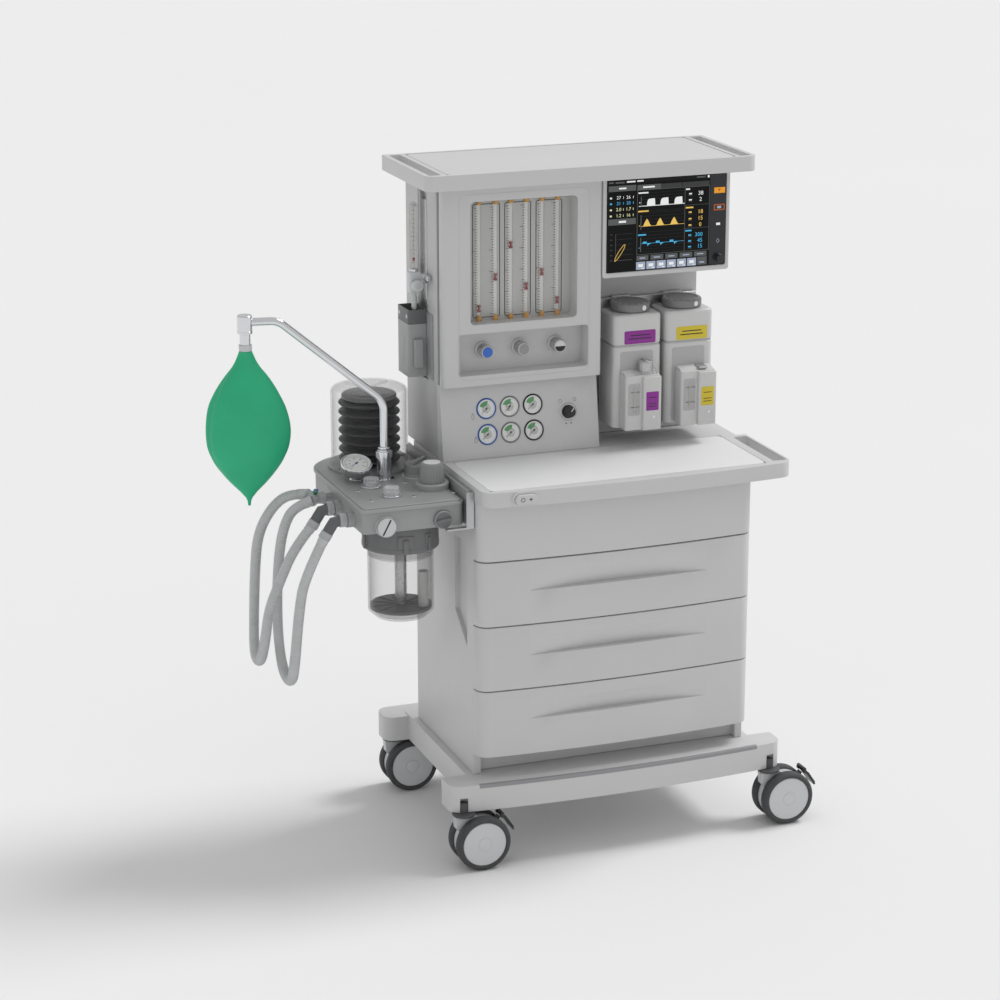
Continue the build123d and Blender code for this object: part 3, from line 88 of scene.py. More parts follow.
# ---------------------------------------------------------------- meshes
# Every made piece is built face by face in the machine's millimetres. Turned pieces are spun
# from a profile that begins or ends on the AXIS, plates grow from an outline, and tubes are swept.
class Build:
    """Faces being gathered for one piece, in machine millimetres."""

    def __init__(self):
        self.points = []
        self.faces = []
        self.coats = []

    def rings(self, rings, coat=0, close=True, caps=True, ring_loop=False):
        """Joins rings of equal count with quads, and closes the first and the last."""
        count = len(rings[0])
        start = len(self.points)
        for ring in rings:
            self.points.extend(Vector(point) for point in ring)
        around = count if close else count - 1
        rows = len(rings) if ring_loop else len(rings) - 1
        for row in range(rows):
            below = start + row * count
            above = start + (row + 1) % len(rings) * count
            for step in range(around):
                after = (step + 1) % count
                self.faces.append((below + step, below + after, above + after, above + step))
                self.coats.append(coat)
        if caps and not ring_loop:
            self.faces.append(tuple(start + step for step in reversed(range(count))))
            self.faces.append(tuple(start + rows * count + step for step in range(count)))
            self.coats += [coat, coat]
        return self

    def turned(self, profile, place=Matrix(), coat=0, sides=48, flutes=0, depth=0):
        """Spins (radius, height) points about the place's Z, from one end to the other."""
        rings = []
        for radius, height in profile:
            ring = []
            for step in range(sides):
                turn = 2 * pi * step / sides
                reach = max(radius, 0.01)
                if flutes and depth and radius > depth * 2:
                    reach -= depth * (0.5 - 0.5 * cos(turn * flutes)) ** 2
                ring.append(place @ Vector((reach * cos(turn), reach * sin(turn), height)))
            rings.append(ring)
        return self.rings(rings, coat)

    def plate(self, outline, low, high, place=Matrix(), coat=0, edge=0.0, steps=3):
        """A plate with the given outline, its top and bottom edges rounded over."""
        levels = [(0.0, low), (0.0, high)]
        if edge:
            arc = [(step / steps * pi / 2) for step in range(steps + 1)]
            levels = [(edge * (1 - sin(turn)), low + edge * (1 - cos(turn))) for turn in arc]
            levels += [(edge * (1 - cos(turn)), high - edge * (1 - sin(turn))) for turn in arc]
        rings = []
        for inset, height in levels:
            rings.append([place @ Vector((x, y, height)) for x, y in shrunk(outline, inset)])
        return self.rings(rings, coat)

    def swept(self, line, radius, coat=0, sides=16, loop=False):
        """A round tube along a line of points; the radius may change from point to point."""
        line = [Vector(point) for point in line]
        radii = radius if isinstance(radius, list) else [radius] * len(line)
        rings = []
        side = None
        for index, point in enumerate(line):
            ahead = line[(index + 1) % len(line)] if loop or index + 1 < len(line) else point
            behind = line[index - 1] if loop or index else point
            along = (ahead - behind).normalized()
            if side is None:
                side = along.orthogonal().normalized()
            side = (side - along * side.dot(along)).normalized()
            up = along.cross(side)
            ring = []
            for step in range(sides):
                turn = 2 * pi * step / sides
                ring.append(point + (side * cos(turn) + up * sin(turn)) * radii[index])
            rings.append(ring)
        return self.rings(rings, coat, caps=not loop, ring_loop=loop)

    def mesh(self, name, coats, crease=32):
        """The gathered faces as a mesh in metres, smooth but for its real edges."""
        mesh = bpy.data.meshes.new(name)
        mesh.from_pydata([TO_METRES @ point for point in self.points], [], self.faces)
        for coat in coats:
            mesh.materials.append(coat)
        mesh.polygons.foreach_set("material_index", self.coats)
        tidy = bmesh.new()
        tidy.from_mesh(mesh)
        bmesh.ops.remove_doubles(tidy, verts=tidy.verts, dist=2e-6)
        bmesh.ops.dissolve_degenerate(tidy, edges=tidy.edges, dist=1e-7)
        bmesh.ops.recalc_face_normals(tidy, faces=tidy.faces)
        tidy.to_mesh(mesh)
        tidy.free()
        mesh.polygons.foreach_set("use_smooth", [True] * len(mesh.polygons))
        mesh.set_sharp_from_angle(angle=radians(crease))
        return mesh

    def piece(self, name, body, coats, slot, nodes=(), crease=32):
        """The finished piece, riding on its body in place of the CAD nodes it stands for."""
        coats = coats if isinstance(coats, list) else [coats]
        made = placed(name, self.mesh(name, coats, crease))
        return fitted(made, body, nodes)


def fitted(made, body, nodes=()):
    """Hands a piece to its body."""
    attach(made, body)
    if nodes:
        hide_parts(*([nodes] if isinstance(nodes, str) else nodes))
    return made


def shrunk(outline, inset):
    """A closed outline, each corner moved inwards along its bisector."""
    if not inset:
        return outline
    moved = []
    for index, (x, y) in enumerate(outline):
        before = outline[index - 1]
        after = outline[(index + 1) % len(outline)]
        ax, ay = x - before[0], y - before[1]
        bx, by = after[0] - x, after[1] - y
        a = hypot(ax, ay) or 1
        b = hypot(bx, by) or 1
        nx, ny = -(ay / a + by / b), ax / a + bx / b
        long = hypot(nx, ny) or 1
        nx, ny = nx / long, ny / long
        spread = max(0.5, nx * -ay / a + ny * ax / a)
        moved.append((x + nx * inset / spread, y + ny * inset / spread))
    return moved


def rounded_rectangle(x0, x1, y0, y1, radius, steps=5):
    """A rectangle's outline, anticlockwise, with round corners."""
    outline = []
    corners = ((x1 - radius, y1 - radius, 0), (x0 + radius, y1 - radius, 90),
               (x0 + radius, y0 + radius, 180), (x1 - radius, y0 + radius, 270))
    for x, y, first in corners:
        for step in range(steps + 1):
            turn = radians(first + 90 * step / steps)
            outline.append((x + radius * cos(turn), y + radius * sin(turn)))
    return outline


def circle(x, y, radius, sides=32):
    """A circle's outline, anticlockwise."""
    return [(x + radius * cos(2 * pi * step / sides),
             y + radius * sin(2 * pi * step / sides)) for step in range(sides)]


AXIS = 0.02        # the radius that stands for a point on the axis


def softened(profile, radius, steps=3):
    """A profile with its inner points rounded over."""
    smooth = [profile[0]]
    for before, here, after in zip(profile, profile[1:], profile[2:]):
        before, here, after = Vector(before), Vector(here), Vector(after)
        reach = min(radius, (before - here).length * 0.45, (after - here).length * 0.45)
        start = here + (before - here).normalized() * reach
        end = here + (after - here).normalized() * reach
        for step in range(steps + 1):
            share = step / steps
            point = start * (1 - share) ** 2 + here * 2 * share * (1 - share) + end * share ** 2
            smooth.append((point.x, point.y))
    smooth.append(profile[-1])
    return smooth


def rearwards(y):
    """A frame at a depth whose X runs along the machine, its Y up and its Z to the back."""
    return Matrix(((1, 0, 0, 0), (0, 0, 1, y), (0, 1, 0, 0), (0, 0, 0, 1)))


def forwards(y):
    """A frame at a depth whose X runs along the machine, its Y up and its Z to the user."""
    return Matrix(((1, 0, 0, 0), (0, 0, -1, y), (0, 1, 0, 0), (0, 0, 0, 1)))


def standing(x, y, z=0.0):
    """A frame standing upright on a spot."""
    return Matrix.Translation((x, y, z))


def facing(x, y, z, tilt=0.0):
    """A frame whose Z comes out of a front face towards the user, tilted back by some degrees."""
    return Matrix.Translation((x, y, z)) @ Matrix.Rotation(radians(90 - tilt), 4, "X")


# ---------------------------------------------------------------- finishes
# A finish is a shader whose plain numbers sit on its sockets, with wires for what changes over
# the surface. A wire can be added, multiplied and raised like a number.
class Wire:
    """A socket of a finish; sums on it add the Math nodes they need."""

    def __init__(self, tree, socket=None):
        self.tree = tree
        self.socket = socket

    def node(self, kind, sockets=(), out=0, stops=(), **settings):
        """Any other node: its settings first, then the values or wires of its sockets."""
        made = self.tree.nodes.new(kind)
        for setting, value in settings.items():
            setattr(made, setting, value)
        for index, (place, colour) in enumerate(stops):
            stop = made.color_ramp.elements[index] if index < 2 else made.color_ramp.elements.new(place)
            stop.position = place
            stop.color = (*colour, 1)
        for socket, value in dict(sockets).items():
            if isinstance(value, Wire):
                self.tree.links.new(value.socket, made.inputs[socket])
            else:
                made.inputs[socket].default_value = value
        return Wire(self.tree, made.outputs[out])

    def sum(self, operation, first, second):
        return self.node("ShaderNodeMath", {0: first, 1: second}, operation=operation)

    def __add__(self, other):
        return self.sum("ADD", self, other)

    def __mul__(self, other):
        return self.sum("MULTIPLY", self, other)

    def __pow__(self, other):
        return self.sum("POWER", self, other)

    __radd__ = __add__
    __rmul__ = __mul__

    def noise(self, scale, detail=3.0, where=None, rough=0.55):
        """Cloudy noise from 0 to 1, its scale in cells to the metre."""
        where = where or self.node("ShaderNodeTexCoord", out="Object")
        return self.node("ShaderNodeTexNoise", {"Vector": where, "Scale": scale, "Detail": detail,
                                                "Roughness": rough})

    def tones(self, share, dark, light):
        """A colour between two, by a share from 0 to 1."""
        return self.node("ShaderNodeValToRGB", {"Fac": share}, stops=((0.0, dark), (1.0, light)))


class Finish:
    """A material and its Principled shader."""

    def __init__(self, name, **numbers):
        self.material = bpy.data.materials.new(name)
        self.material.use_nodes = True
        self.tree = self.material.node_tree
        self.shader = self.tree.nodes["Principled BSDF"]
        self.wire = Wire(self.tree)
        for socket, value in numbers.items():
            self.put(socket.replace("_", " "), value)

    def put(self, socket, value):
        """Sets or wires one of the shader's sockets."""
        if isinstance(value, Wire):
            self.tree.links.new(value.socket, self.shader.inputs[socket])
        elif isinstance(value, tuple):
            self.shader.inputs[socket].default_value = (*value, 1)
        else:
            self.shader.inputs[socket].default_value = value
        return self

    def bump(self, height, depth, strength=1.0):
        """Relief of a real depth, in metres, from a height of 0 to 1."""
        self.put("Normal", self.wire.node("ShaderNodeBump", {"Height": height, "Distance": depth,
                                                             "Strength": strength}))
        return self


def shade(colour, factor):
    """A colour made darker or lighter."""
    return tuple(min(1.0, channel * factor) for channel in colour)


def moulded(name, colour, roughness=0.45, grain=1400, depth=0.00006, coat=0.0):
    """Moulded plastic or powder coat: a fine orange-peel grain, with slightly uneven tone and gloss."""
    made = Finish(name, Coat_Weight=coat, Coat_Roughness=0.12)
    wire = made.wire
    cloud = wire.noise(6, 4)
    speck = wire.noise(grain, 2)
    handled = wire.noise(31, 5)
    made.put("Base Color", wire.tones(cloud * 0.6 + speck * 0.4, shade(colour, 0.95),
                                      shade(colour, 1.035)))
    made.put("Roughness", handled * 0.14 + (roughness - 0.07))
    made.bump(speck, depth)
    return made.material


def metal(name, colour, roughness, grain=(900, 900, 900), depth=0.00004, metallic=1.0):
    """Bare or plated metal: fine tool or blast marks, stretched along the way it was worked."""
    made = Finish(name, Metallic=metallic)
    wire = made.wire
    where = wire.node("ShaderNodeMapping", {"Vector": wire.node("ShaderNodeTexCoord", out="Object"),
                                            "Scale": grain})
    marks = wire.noise(1, 3, where)
    smear = wire.noise(22, 4)
    made.put("Base Color", wire.tones(marks * 0.5 + smear * 0.5, shade(colour, 0.88),
                                      shade(colour, 1.07)))
    made.put("Roughness", smear * 0.16 + marks * 0.06 + (roughness - 0.1))
    made.bump(marks, depth)
    return made.material


def clear(name, tint, body=0.1, rim=0.6, roughness=0.06):
    """Clear moulded plastic, denser towards its outline, with faint flow lines and smears."""
    made = Finish(name, Specular_IOR_Level=0.45)
    wire = made.wire
    smear = wire.noise(14, 4)
    edge = wire.node("ShaderNodeLayerWeight", {"Blend": 0.35}, out="Facing")
    made.put("Base Color", wire.tones(smear, shade(tint, 0.93), tint))
    made.put("Roughness", smear * 0.1 + roughness)
    made.put("Alpha", edge ** 2.2 * rim + smear * 0.03 + body)
    made.bump(wire.noise(60, 2), 0.0001)
    return made.material


# ---------------------------------------------------------------- breathing hoses
# Two corrugated hoses, about 0.79 m each, hang in loops from the parked Y-piece and come back up
# to the elbows on the block. The ridges are the thin wall itself, pressed into rings.
HOSE_RADIUS = 11.0
RIDGE_PITCH = 4.6
RIDGE_DEPTH = 1.5
hose_routes = {"inspiratory_hose": ((-578, 262, 742), (-613, 275, 744), (-646, 290, 713),
                                    (-672, 305, 655), (-677, 315, 575), (-680, 321, 475),
                                    (-690, 290, 406), (-696, 224, 402), (-694, 188, 464),
                                    (-685, 188, 530), (-660, 190, 586), (-628, 190, 655),
                                    (-588, 190, 699)), "expiratory_hose": ((-576, 234, 736),
        (-612, 242, 725), (-632, 249, 684), (-642, 252, 630), (-648, 251, 562), (-649, 254, 492),
        (-648, 249, 430), (-650, 215, 383), (-652, 147, 380), (-654, 113, 438), (-645, 108, 545),
        (-633, 106, 616), (-588, 106, 699))}


def as_mesh(holder):
    """What an object's curve, text or modifiers come to, as a plain mesh; the object goes."""
    graph = bpy.context.evaluated_depsgraph_get()
    mesh = bpy.data.meshes.new_from_object(holder.evaluated_get(graph))
    bpy.data.objects.remove(holder)
    return mesh


def route_line(route, name):
    """The smooth line of a route: an open NURBS spline with the route's points as its controls."""
    curve = bpy.data.curves.new(name + "_line", "CURVE")
    curve.dimensions = "3D"
    spline = curve.splines.new("NURBS")
    spline.points.add(len(route) - 1)
    for point, place in zip(spline.points, route):
        point.co = (*at(*place), 1)
    spline.order_u = 3
    spline.use_endpoint_u = True
    spline.resolution_u = 40
    holder = placed(name + "_line", curve)
    line = as_mesh(holder)
    points = [vertex.co.copy() for vertex in line.vertices]
    bpy.data.meshes.remove(line)
    return points


def evenly(points, count):
    """A line divided into equal steps, and its length."""
    lengths = [0.0]
    for before, after in zip(points, points[1:]):
        lengths.append(lengths[-1] + (after - before).length)
    even = []
    index = 0
    for step in range(count + 1):
        goal = lengths[-1] * step / count
        while index < len(points) - 2 and lengths[index + 1] < goal:
            index += 1
        span = lengths[index + 1] - lengths[index] or 1
        even.append(points[index].lerp(points[index + 1], (goal - lengths[index]) / span))
    return even, lengths[-1]


hose_grey = Finish("hose_grey")
cloud = hose_grey.wire.noise(40, 3)
hose_grey.put("Base Color", hose_grey.wire.tones(cloud, (0.46, 0.47, 0.475), (0.62, 0.63, 0.64)))
hose_grey.put("Roughness", cloud * 0.2 + 0.32)
hose_grey.bump(hose_grey.wire.noise(700, 2), 0.00005)
hose_ends = {}
for name, route in hose_routes.items():
    points = route_line(route, name)
    length = evenly(points, 1)[1]
    ridges = round(length * 1000 / RIDGE_PITCH)
    steps_each = 4
    line, length = evenly(points, ridges * steps_each)
    radii = []
    for index in range(len(line)):
        wave = 0.5 - 0.5 * cos(2 * pi * index / steps_each)
        cuff = index < 4 * steps_each or index > len(line) - 4 * steps_each
        radii.append(HOSE_RADIUS if cuff else HOSE_RADIUS - RIDGE_DEPTH * (1 - wave))
    hose = Build().swept([FROM_METRES @ point for point in line], radii, sides=20)
    piece = hose.piece(name + "_skin", "machine", hose_grey.material, "hose_grey", name, crease=80)
    hose_ends[name] = (FROM_METRES @ line[0], FROM_METRES @ line[-1])

# The Y-piece joins both hoses on a parking peg; each hose's other end is pushed on an elbow,
# whose union nut holds it in the block's port. All are moulded in smoky translucent plastic.
fitting_grey = clear("fitting_grey", (0.52, 0.54, 0.55), body=0.78, rim=0.2, roughness=0.2)
elbow_grey = moulded("elbow_grey", (0.12, 0.125, 0.13), 0.36, 700)
cap_green = moulded("cap_green", (0.02, 0.22, 0.10), 0.3)
cap_blue = moulded("cap_blue", (0.03, 0.08, 0.42), 0.3)
PARKING = Vector((-552, 247, 736))
PORT_X = -544
PORT_Z = 729
fittings = Build()
joint = PARKING + Vector((-8, 0, 1))
fittings.swept([(-545.5, 247, 736), (-551, 247, 736), (-551.1, 247, 736), (-558, 247, 736.5),
                joint + Vector((-4, 0, 0))], [13.2, 13.2, 12.2, 12.0, 11.4], sides=28)
for start, _ in hose_ends.values():
    toward = (joint - start).normalized()
    fittings.swept([joint, joint.lerp(start, 0.5), start + toward * 3, start + toward * 2.9,
                    start - toward * 1.5], [10.6, 10.4, 10.4, 11.9, 11.9], sides=24)
for _, end in hose_ends.values():
    port = Vector((PORT_X, end.y, PORT_Z))
    knee = Vector((-570, end.y, PORT_Z - 3))
    down = (end - knee).normalized()
    fittings.swept([port, port + Vector((-16, 0, 0)), knee.lerp(port, 0.35), knee, knee.lerp(end, 0.4),
                    end - down * 6], [12.0, 12.0, 11.6, 11.8, 11.4, 11.2], 1, sides=28)
    fittings.swept([end - down * 9, end - down * 8.8, end + down * 6], [10.6, 12.4, 12.4], 0, sides=28)
    for turn in range(8):
        angle = 2 * pi * turn / 8
        rib = Vector((0, cos(angle), sin(angle)))
        fittings.swept([port + Vector((-2, 0, 0)) + rib * 13.4, port + Vector((-13, 0,
                0)) + rib * 13.4], 1.6, sides=8)
    fittings.swept([port + Vector((-0.4, 0, 0)), port + Vector((-2, 0, 0)), port + Vector((-13, 0, 0)),
                    port + Vector((-15, 0, 0))], [13.2, 14.4, 14.4, 13.0], sides=32)
fittings.piece("hose_fittings_moulded", "machine", [fitting_grey, elbow_grey], "fitting_blue",
               "hose_fittings")
caps = Build()
for shift, coat in ((-7, 0), (6, 1)):
    foot = joint + Vector((shift * 0.4 - 4, shift * 0.9, 9))
    caps.turned(softened([(0, 0), (3.4, 0), (3.4, 4), (5.2, 4.4), (5.2, 7.4), (0, 7.8)], 0.7),
                Matrix.Translation(foot), coat, sides=20)
caps.piece("sample_port_caps", "machine", [cap_green, cap_blue], "fitting_blue")

# ---------------------------------------------------------------- castor base
# One moulded frame with a bowed front beam that carries the whole cabinet on four castors. Its
# front edge has a grey foot strip let into it.
def eased(node, body, coat, width=1.6, segments=3, name=None, crease=35):
    """A formed or moulded piece: its own shape with every sharp edge rounded over."""
    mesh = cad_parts[node].data.copy()
    tidy = bmesh.new()
    tidy.from_mesh(mesh)
    bmesh.ops.remove_doubles(tidy, verts=tidy.verts, dist=2e-6)
    bmesh.ops.dissolve_limit(tidy, angle_limit=radians(0.4), verts=tidy.verts, edges=tidy.edges)
    tidy.to_mesh(mesh)
    tidy.free()
    mesh.materials.clear()
    mesh.materials.append(coat)
    holder = placed(node + "_sharp", mesh)
    bevel = holder.modifiers.new("edges", "BEVEL")
    bevel.width = width / 1000
    bevel.segments = segments
    bevel.limit_method = "ANGLE"
    bevel.angle_limit = radians(crease)
    bevel.use_clamp_overlap = True
    rounded = as_mesh(holder)
    rounded.polygons.foreach_set("use_smooth", [True] * len(rounded.polygons))
    rounded.polygons.foreach_set("material_index", [0] * len(rounded.polygons))
    rounded.set_sharp_from_angle(angle=radians(28))
    made = placed(name or node + "_finished", rounded)
    return fitted(made, body, node)


body_white = moulded("body_white", (0.60, 0.60, 0.60), 0.42, 900, 0.00005)
strip_grey = moulded("strip_grey", (0.30, 0.30, 0.31), 0.55, 500, 0.0001)
eased("base_frame", "machine", body_white, width=5, segments=4)
BASE_FRONT = -22
BASE_BOW = 21
BASE_TOP = 178
BASE_HALF = 371


def bow(x, front, depth, half):
    """The front face's y on a beam bowed forward by some depth at its middle."""
    radius = (half ** 2 + depth ** 2) / (2 * depth)
    return front + (radius - depth) - sqrt(radius ** 2 - x ** 2)


strip = Build()
STRIP_HALF = 311
STRIP_STEPS = 40
sections = []
for step in range(STRIP_STEPS + 1):
    x = -STRIP_HALF + STRIP_HALF * 2 * step / STRIP_STEPS
    face = bow(x, BASE_FRONT, BASE_BOW, BASE_HALF)
    sections.append([(x, face - 0.3, BASE_TOP - 7), (x, face - 0.3, BASE_TOP - 0.6),
                     (x, face + 0.3, BASE_TOP + 0.3), (x, face + 8, BASE_TOP + 0.3),
                     (x, face + 8, BASE_TOP - 7)])
strip.rings(sections)
strip.piece("foot_strip", "machine", strip_grey, "mat_grey")

# ---------------------------------------------------------------- castors
# Twin-wheel castors: a white nylon housing on a steel stem turns under the beam, with a fender
# over dark tyres on pale flat discs. The front pair have black ribbed brake pedals.
nylon = moulded("nylon_white", (0.56, 0.57, 0.58), 0.34, 700, 0.00003, coat=0.1)
disc_grey = moulded("disc_grey", (0.62, 0.63, 0.64), 0.33, 900, 0.00003, coat=0.2)
swivel_grey = moulded("swivel_grey", (0.07, 0.07, 0.075), 0.5, 700)
tread = Finish("tread_rubber")
wear = tread.wire.noise(90, 5)
tread.put("Base Color", tread.wire.tones(wear, (0.035, 0.036, 0.038), (0.085, 0.086, 0.09)))
tread.put("Roughness", wear * 0.3 + 0.55)
tread.bump(tread.wire.noise(1200, 2), 0.00012)
WHEEL = 57.5
TRAIL = 34
TYRE_WIDTH = 24
TRACK = 46
BEAM_UNDERSIDE = 122
corner_places = {"front_left": (-343, -20), "front_right": (343, -20), "rear_left": (-343, 434),
                 "rear_right": (343, 434)}
for corner, (x, y) in corner_places.items():
    axle = x + TRAIL
    wheels = Build()
    tyres = Build()
    for side in (-1, 1):
        middle = y + side * TRACK / 2
        out = Matrix.Translation((axle, middle, WHEEL)) @ Matrix.Rotation(radians(-90 * side), 4, "X")
        half = TYRE_WIDTH / 2
        tyres.turned(softened([(46, -half), (WHEEL - 4, -half), (WHEEL, -half + 5), (WHEEL, half - 5),
                               (WHEEL - 5, half), (47.5, half), (46.5, half - 1.5), (46, half - 4)],
                              2.5), out, 0, sides=72)
        wheels.turned(softened([(5.4, -half + 2), (46.4, -half + 2), (46.4, half - 2.6),
                                (45, half - 1.6), (17, half - 0.9), (14.5, half - 1.7),
                                (5.4, half - 1.8)], 0.8), out, 0, sides=64)
        wheels.turned(softened([(AXIS, half - 2.4), (13.6, half - 2.4), (13.6, half - 1.1),
                                (11.8, half - 0.4), (AXIS, half - 0.2)], 0.6), out, 0, sides=40)
    body = "wheels_" + corner
    wheels.piece("wheel_discs_" + corner, body, disc_grey, "caster_grey", "caster_wheels_" + corner)
    tyres.piece("tyres_" + corner, body, tread.material, "tyre")
    housing = Build()
    swivel_top = BEAM_UNDERSIDE - 0.8
    housing.turned(softened([(AXIS, swivel_top), (24, swivel_top), (24, swivel_top - 5),
                             (21, swivel_top - 7), (AXIS, swivel_top - 8)], 1), standing(x, y), 1,
                   sides=40)
    housing.turned([(AXIS, swivel_top - 1), (9, swivel_top - 1), (9, BEAM_UNDERSIDE + 20),
                    (AXIS, BEAM_UNDERSIDE + 20)], standing(x, y), 1, sides=24)
    WEB_HALF = 9.6
    fender = []
    for step in range(37):
        turn = radians(30 + 190 * step / 36)
        fender.append((axle + 52 * cos(turn), WHEEL + 52 * sin(turn)))
    fender += [(axle - 20, WHEEL - 18), (axle, WHEEL - 22), (axle + 22, WHEEL - 6),
               (axle + 30, WHEEL + 12)]
    across = rearwards(y)
    housing.plate(fender, -WEB_HALF, WEB_HALF, across, 0, edge=1.2)
    neck = [(x - 21, swivel_top - 7), (x + 21, swivel_top - 7), (axle + 10, WHEEL + 44),
            (axle - 44, WHEEL + 22), (x - 19, WHEEL + 32)]
    housing.plate(neck[::-1], -WEB_HALF, WEB_HALF, across, 0, edge=1.2)
    housing.turned([(AXIS, -TRACK / 2 - 9), (5, -TRACK / 2 - 9), (5, TRACK / 2 + 9),
                    (AXIS, TRACK / 2 + 9)], Matrix.Translation((axle, y,
                                                                WHEEL)) @ Matrix.Rotation(radians(90),
            4, "X"), 1, sides=24)
    if corner.startswith("front"):
        lug = radians(48)
        tip = Vector((axle + 62 * cos(lug), y, WHEEL + 62 * sin(lug)))
        housing.swept([Vector((axle + 40 * cos(lug), y, WHEEL + 40 * sin(lug))), tip], 5.5, 1, sides=16)
        eased("brake_pedal_" + corner, "brake_pedal_" + corner, moulded("pedal_black_" + corner,
                (0.025, 0.027, 0.03), 0.35, 600, 0.00004), width=0.9, segments=2)
    housing.piece("castor_housing_" + corner, "caster_" + corner, [nylon, swivel_grey], "caster_grey",
                  "caster_housing_" + corner)

# ---------------------------------------------------------------- cabinet and drawers
# A carcass of painted sheet steel with three bowed drawer fronts under a fixed panel. Each front
# carries a moulded scoop as its grip, and its drawer is a folded steel box. The back is closed
# by a screwed service panel with louvres.
shell_grey = moulded("shell_grey", (0.56, 0.56, 0.56), 0.46, 1100, 0.00006)
# A dark grey that is the gas inlet plate's own colour and also painted shade in the gaps round the mats.
inside_grey = moulded("inside_grey", (0.30, 0.31, 0.32), 0.5, 800)
steel = metal("plain_steel", (0.55, 0.55, 0.56), 0.32, (500, 500, 2500))
eased("cabinet_shell", "machine", body_white, width=1.4)
for number in (1, 2, 3):
    name = "drawer_" + str(number)
    eased(name, name, body_white, width=1.8)


def row_of_pieces():
    """A node tree that sets one unit at even steps along a line."""
    tree = bpy.data.node_groups.new("row_of_pieces", "GeometryNodeTree")
    for label, kind in (("Unit", "Object"), ("Coat", "Material"), ("Count", "Int"), ("Start", "Vector"),
                        ("Step", "Vector"), ("Turn", "Vector")):
        tree.interface.new_socket(label, in_out="INPUT", socket_type="NodeSocket" + kind)
    tree.interface.new_socket("Geometry", in_out="OUTPUT", socket_type="NodeSocketGeometry")
    given = tree.nodes.new("NodeGroupInput")
    line = tree.nodes.new("GeometryNodeMeshLine")
    unit = tree.nodes.new("GeometryNodeObjectInfo")
    spread = tree.nodes.new("GeometryNodeInstanceOnPoints")
    real = tree.nodes.new("GeometryNodeRealizeInstances")
    painted = tree.nodes.new("GeometryNodeSetMaterial")
    result = tree.nodes.new("NodeGroupOutput")
    for source, label, target, socket in ((given, "Count", line, "Count"), (given, "Start", line,
            "Start Location"), (given, "Step", line, "Offset"), (given, "Unit", unit, "Object"),
                                          (line, "Mesh", spread, "Points"), (unit, "Geometry", spread,
            "Instance"), (given, "Turn", spread, "Rotation"), (spread, "Instances", real, "Geometry"),
                                          (real, "Geometry", painted, "Geometry"),
                                          (given, "Coat", painted, "Material"),
                                          (painted, "Geometry", result, "Geometry")):
        tree.links.new(source.outputs[label], target.inputs[socket])
    return tree


piece_row = row_of_pieces()


def rows(name, unit, lines, coat, body, slot, turn=(0, 0, 0)):
    """One mesh of a small unit repeated along several lines: (count, start, step) in millimetres."""
    unit_mesh = unit.mesh(name + "_unit", [coat])
    unit_mesh.transform(FROM_METRES)
    unit_mesh.transform(Matrix.Scale(0.001, 4))
    source = placed(name + "_unit", unit_mesh)
    gathered = bmesh.new()
    for count, start, step in lines:
        holder = placed(name + "_row", bpy.data.meshes.new(name + "_row"))
        row = holder.modifiers.new("row", "NODES")
        row.node_group = piece_row
        values = {"Unit": source, "Coat": coat, "Count": count, "Start": at(*start),
                  "Step": Vector(step) / 1000, "Turn": Vector(turn)}
        for item in piece_row.interface.items_tree:
            if item.in_out == "INPUT":
                value = values[item.name]
                row[item.identifier] = list(value) if isinstance(value, Vector) else value
        mesh = as_mesh(holder)
        gathered.from_mesh(mesh)
        bpy.data.meshes.remove(mesh)
    bpy.data.objects.remove(source)
    mesh = bpy.data.meshes.new(name)
    gathered.to_mesh(mesh)
    gathered.free()
    mesh.materials.clear()
    mesh.materials.append(coat)
    mesh.polygons.foreach_set("material_index", [0] * len(mesh.polygons))
    made = placed(name, mesh)
    return fitted(made, body)


def screw(radius, height, place=Matrix()):
    """A pan-head screw with a cross recess, seen from outside along the frame's Z."""
    head = Build()
    head.turned(softened([(AXIS, -0.3), (radius, -0.3), (radius, height * 0.35),
                          (radius * 0.62, height), (AXIS, height)], radius * 0.2), place, sides=14)
    for turn in (0, 90):
        slot = place @ Matrix.Rotation(radians(turn), 4, "Z")
        half, width = radius * 0.55, radius * 0.13
        ring = [(-half, -width), (half, -width), (half, width), (-half, width)]
        head.plate(ring, height - 0.02, height + 0.06, slot)
    return head


BACKWARDS = Matrix.Rotation(radians(-90), 4, "X")
service = Build()
service.plate(rounded_rectangle(-255, 255, 215, 735, 12), 0, 2.4, rearwards(CABINET_BACK), edge=0.8)
service.piece("service_panel", "machine", shell_grey, "shell_grey")
louvre = Build()
louvre.rings([[(-26, 0, -1.6), (26, 0, -1.6), (26, 0, 1.8), (-26, 0, 1.8)], [(-25, 3.2, -2.6),
        (25, 3.2, -2.6), (25, 2.2, -1.2), (-25, 2.2, -1.2)]])
rows("louvres", louvre, [(14, (x, CABINET_BACK + 2.3, 560), (0, 0, 10)) for x in (-165, -90, 90, 165)],
     shell_grey, "machine", "shell_grey")
rows("service_screws", screw(3.6, 1.8, BACKWARDS), [(4, (x, CABINET_BACK + 2.4, 230),
                                                     (0, 0, 163)) for x in (-240, 240)], steel,
     "machine", "manifold")
socket_plate = Build()
lying_back = rearwards(CABINET_BACK + 2.4)
socket_plate.plate(rounded_rectangle(-70, 70, 300, 372, 8), 0, 2.6, lying_back, 0, edge=1)
for x in (-40, 0, 40):
    socket_plate.turned(softened([(AXIS, 2.5), (15, 2.5), (15, 7), (12.4, 7), (11.6, 3.4), (AXIS, 3.4)],
                                 0.6), Matrix.Translation((x, CABINET_BACK + 2.4, 336)) @ BACKWARDS, 1,
                        sides=28)
socket_plate.piece("gas_inlets", "machine", [inside_grey, steel], "shell_grey")

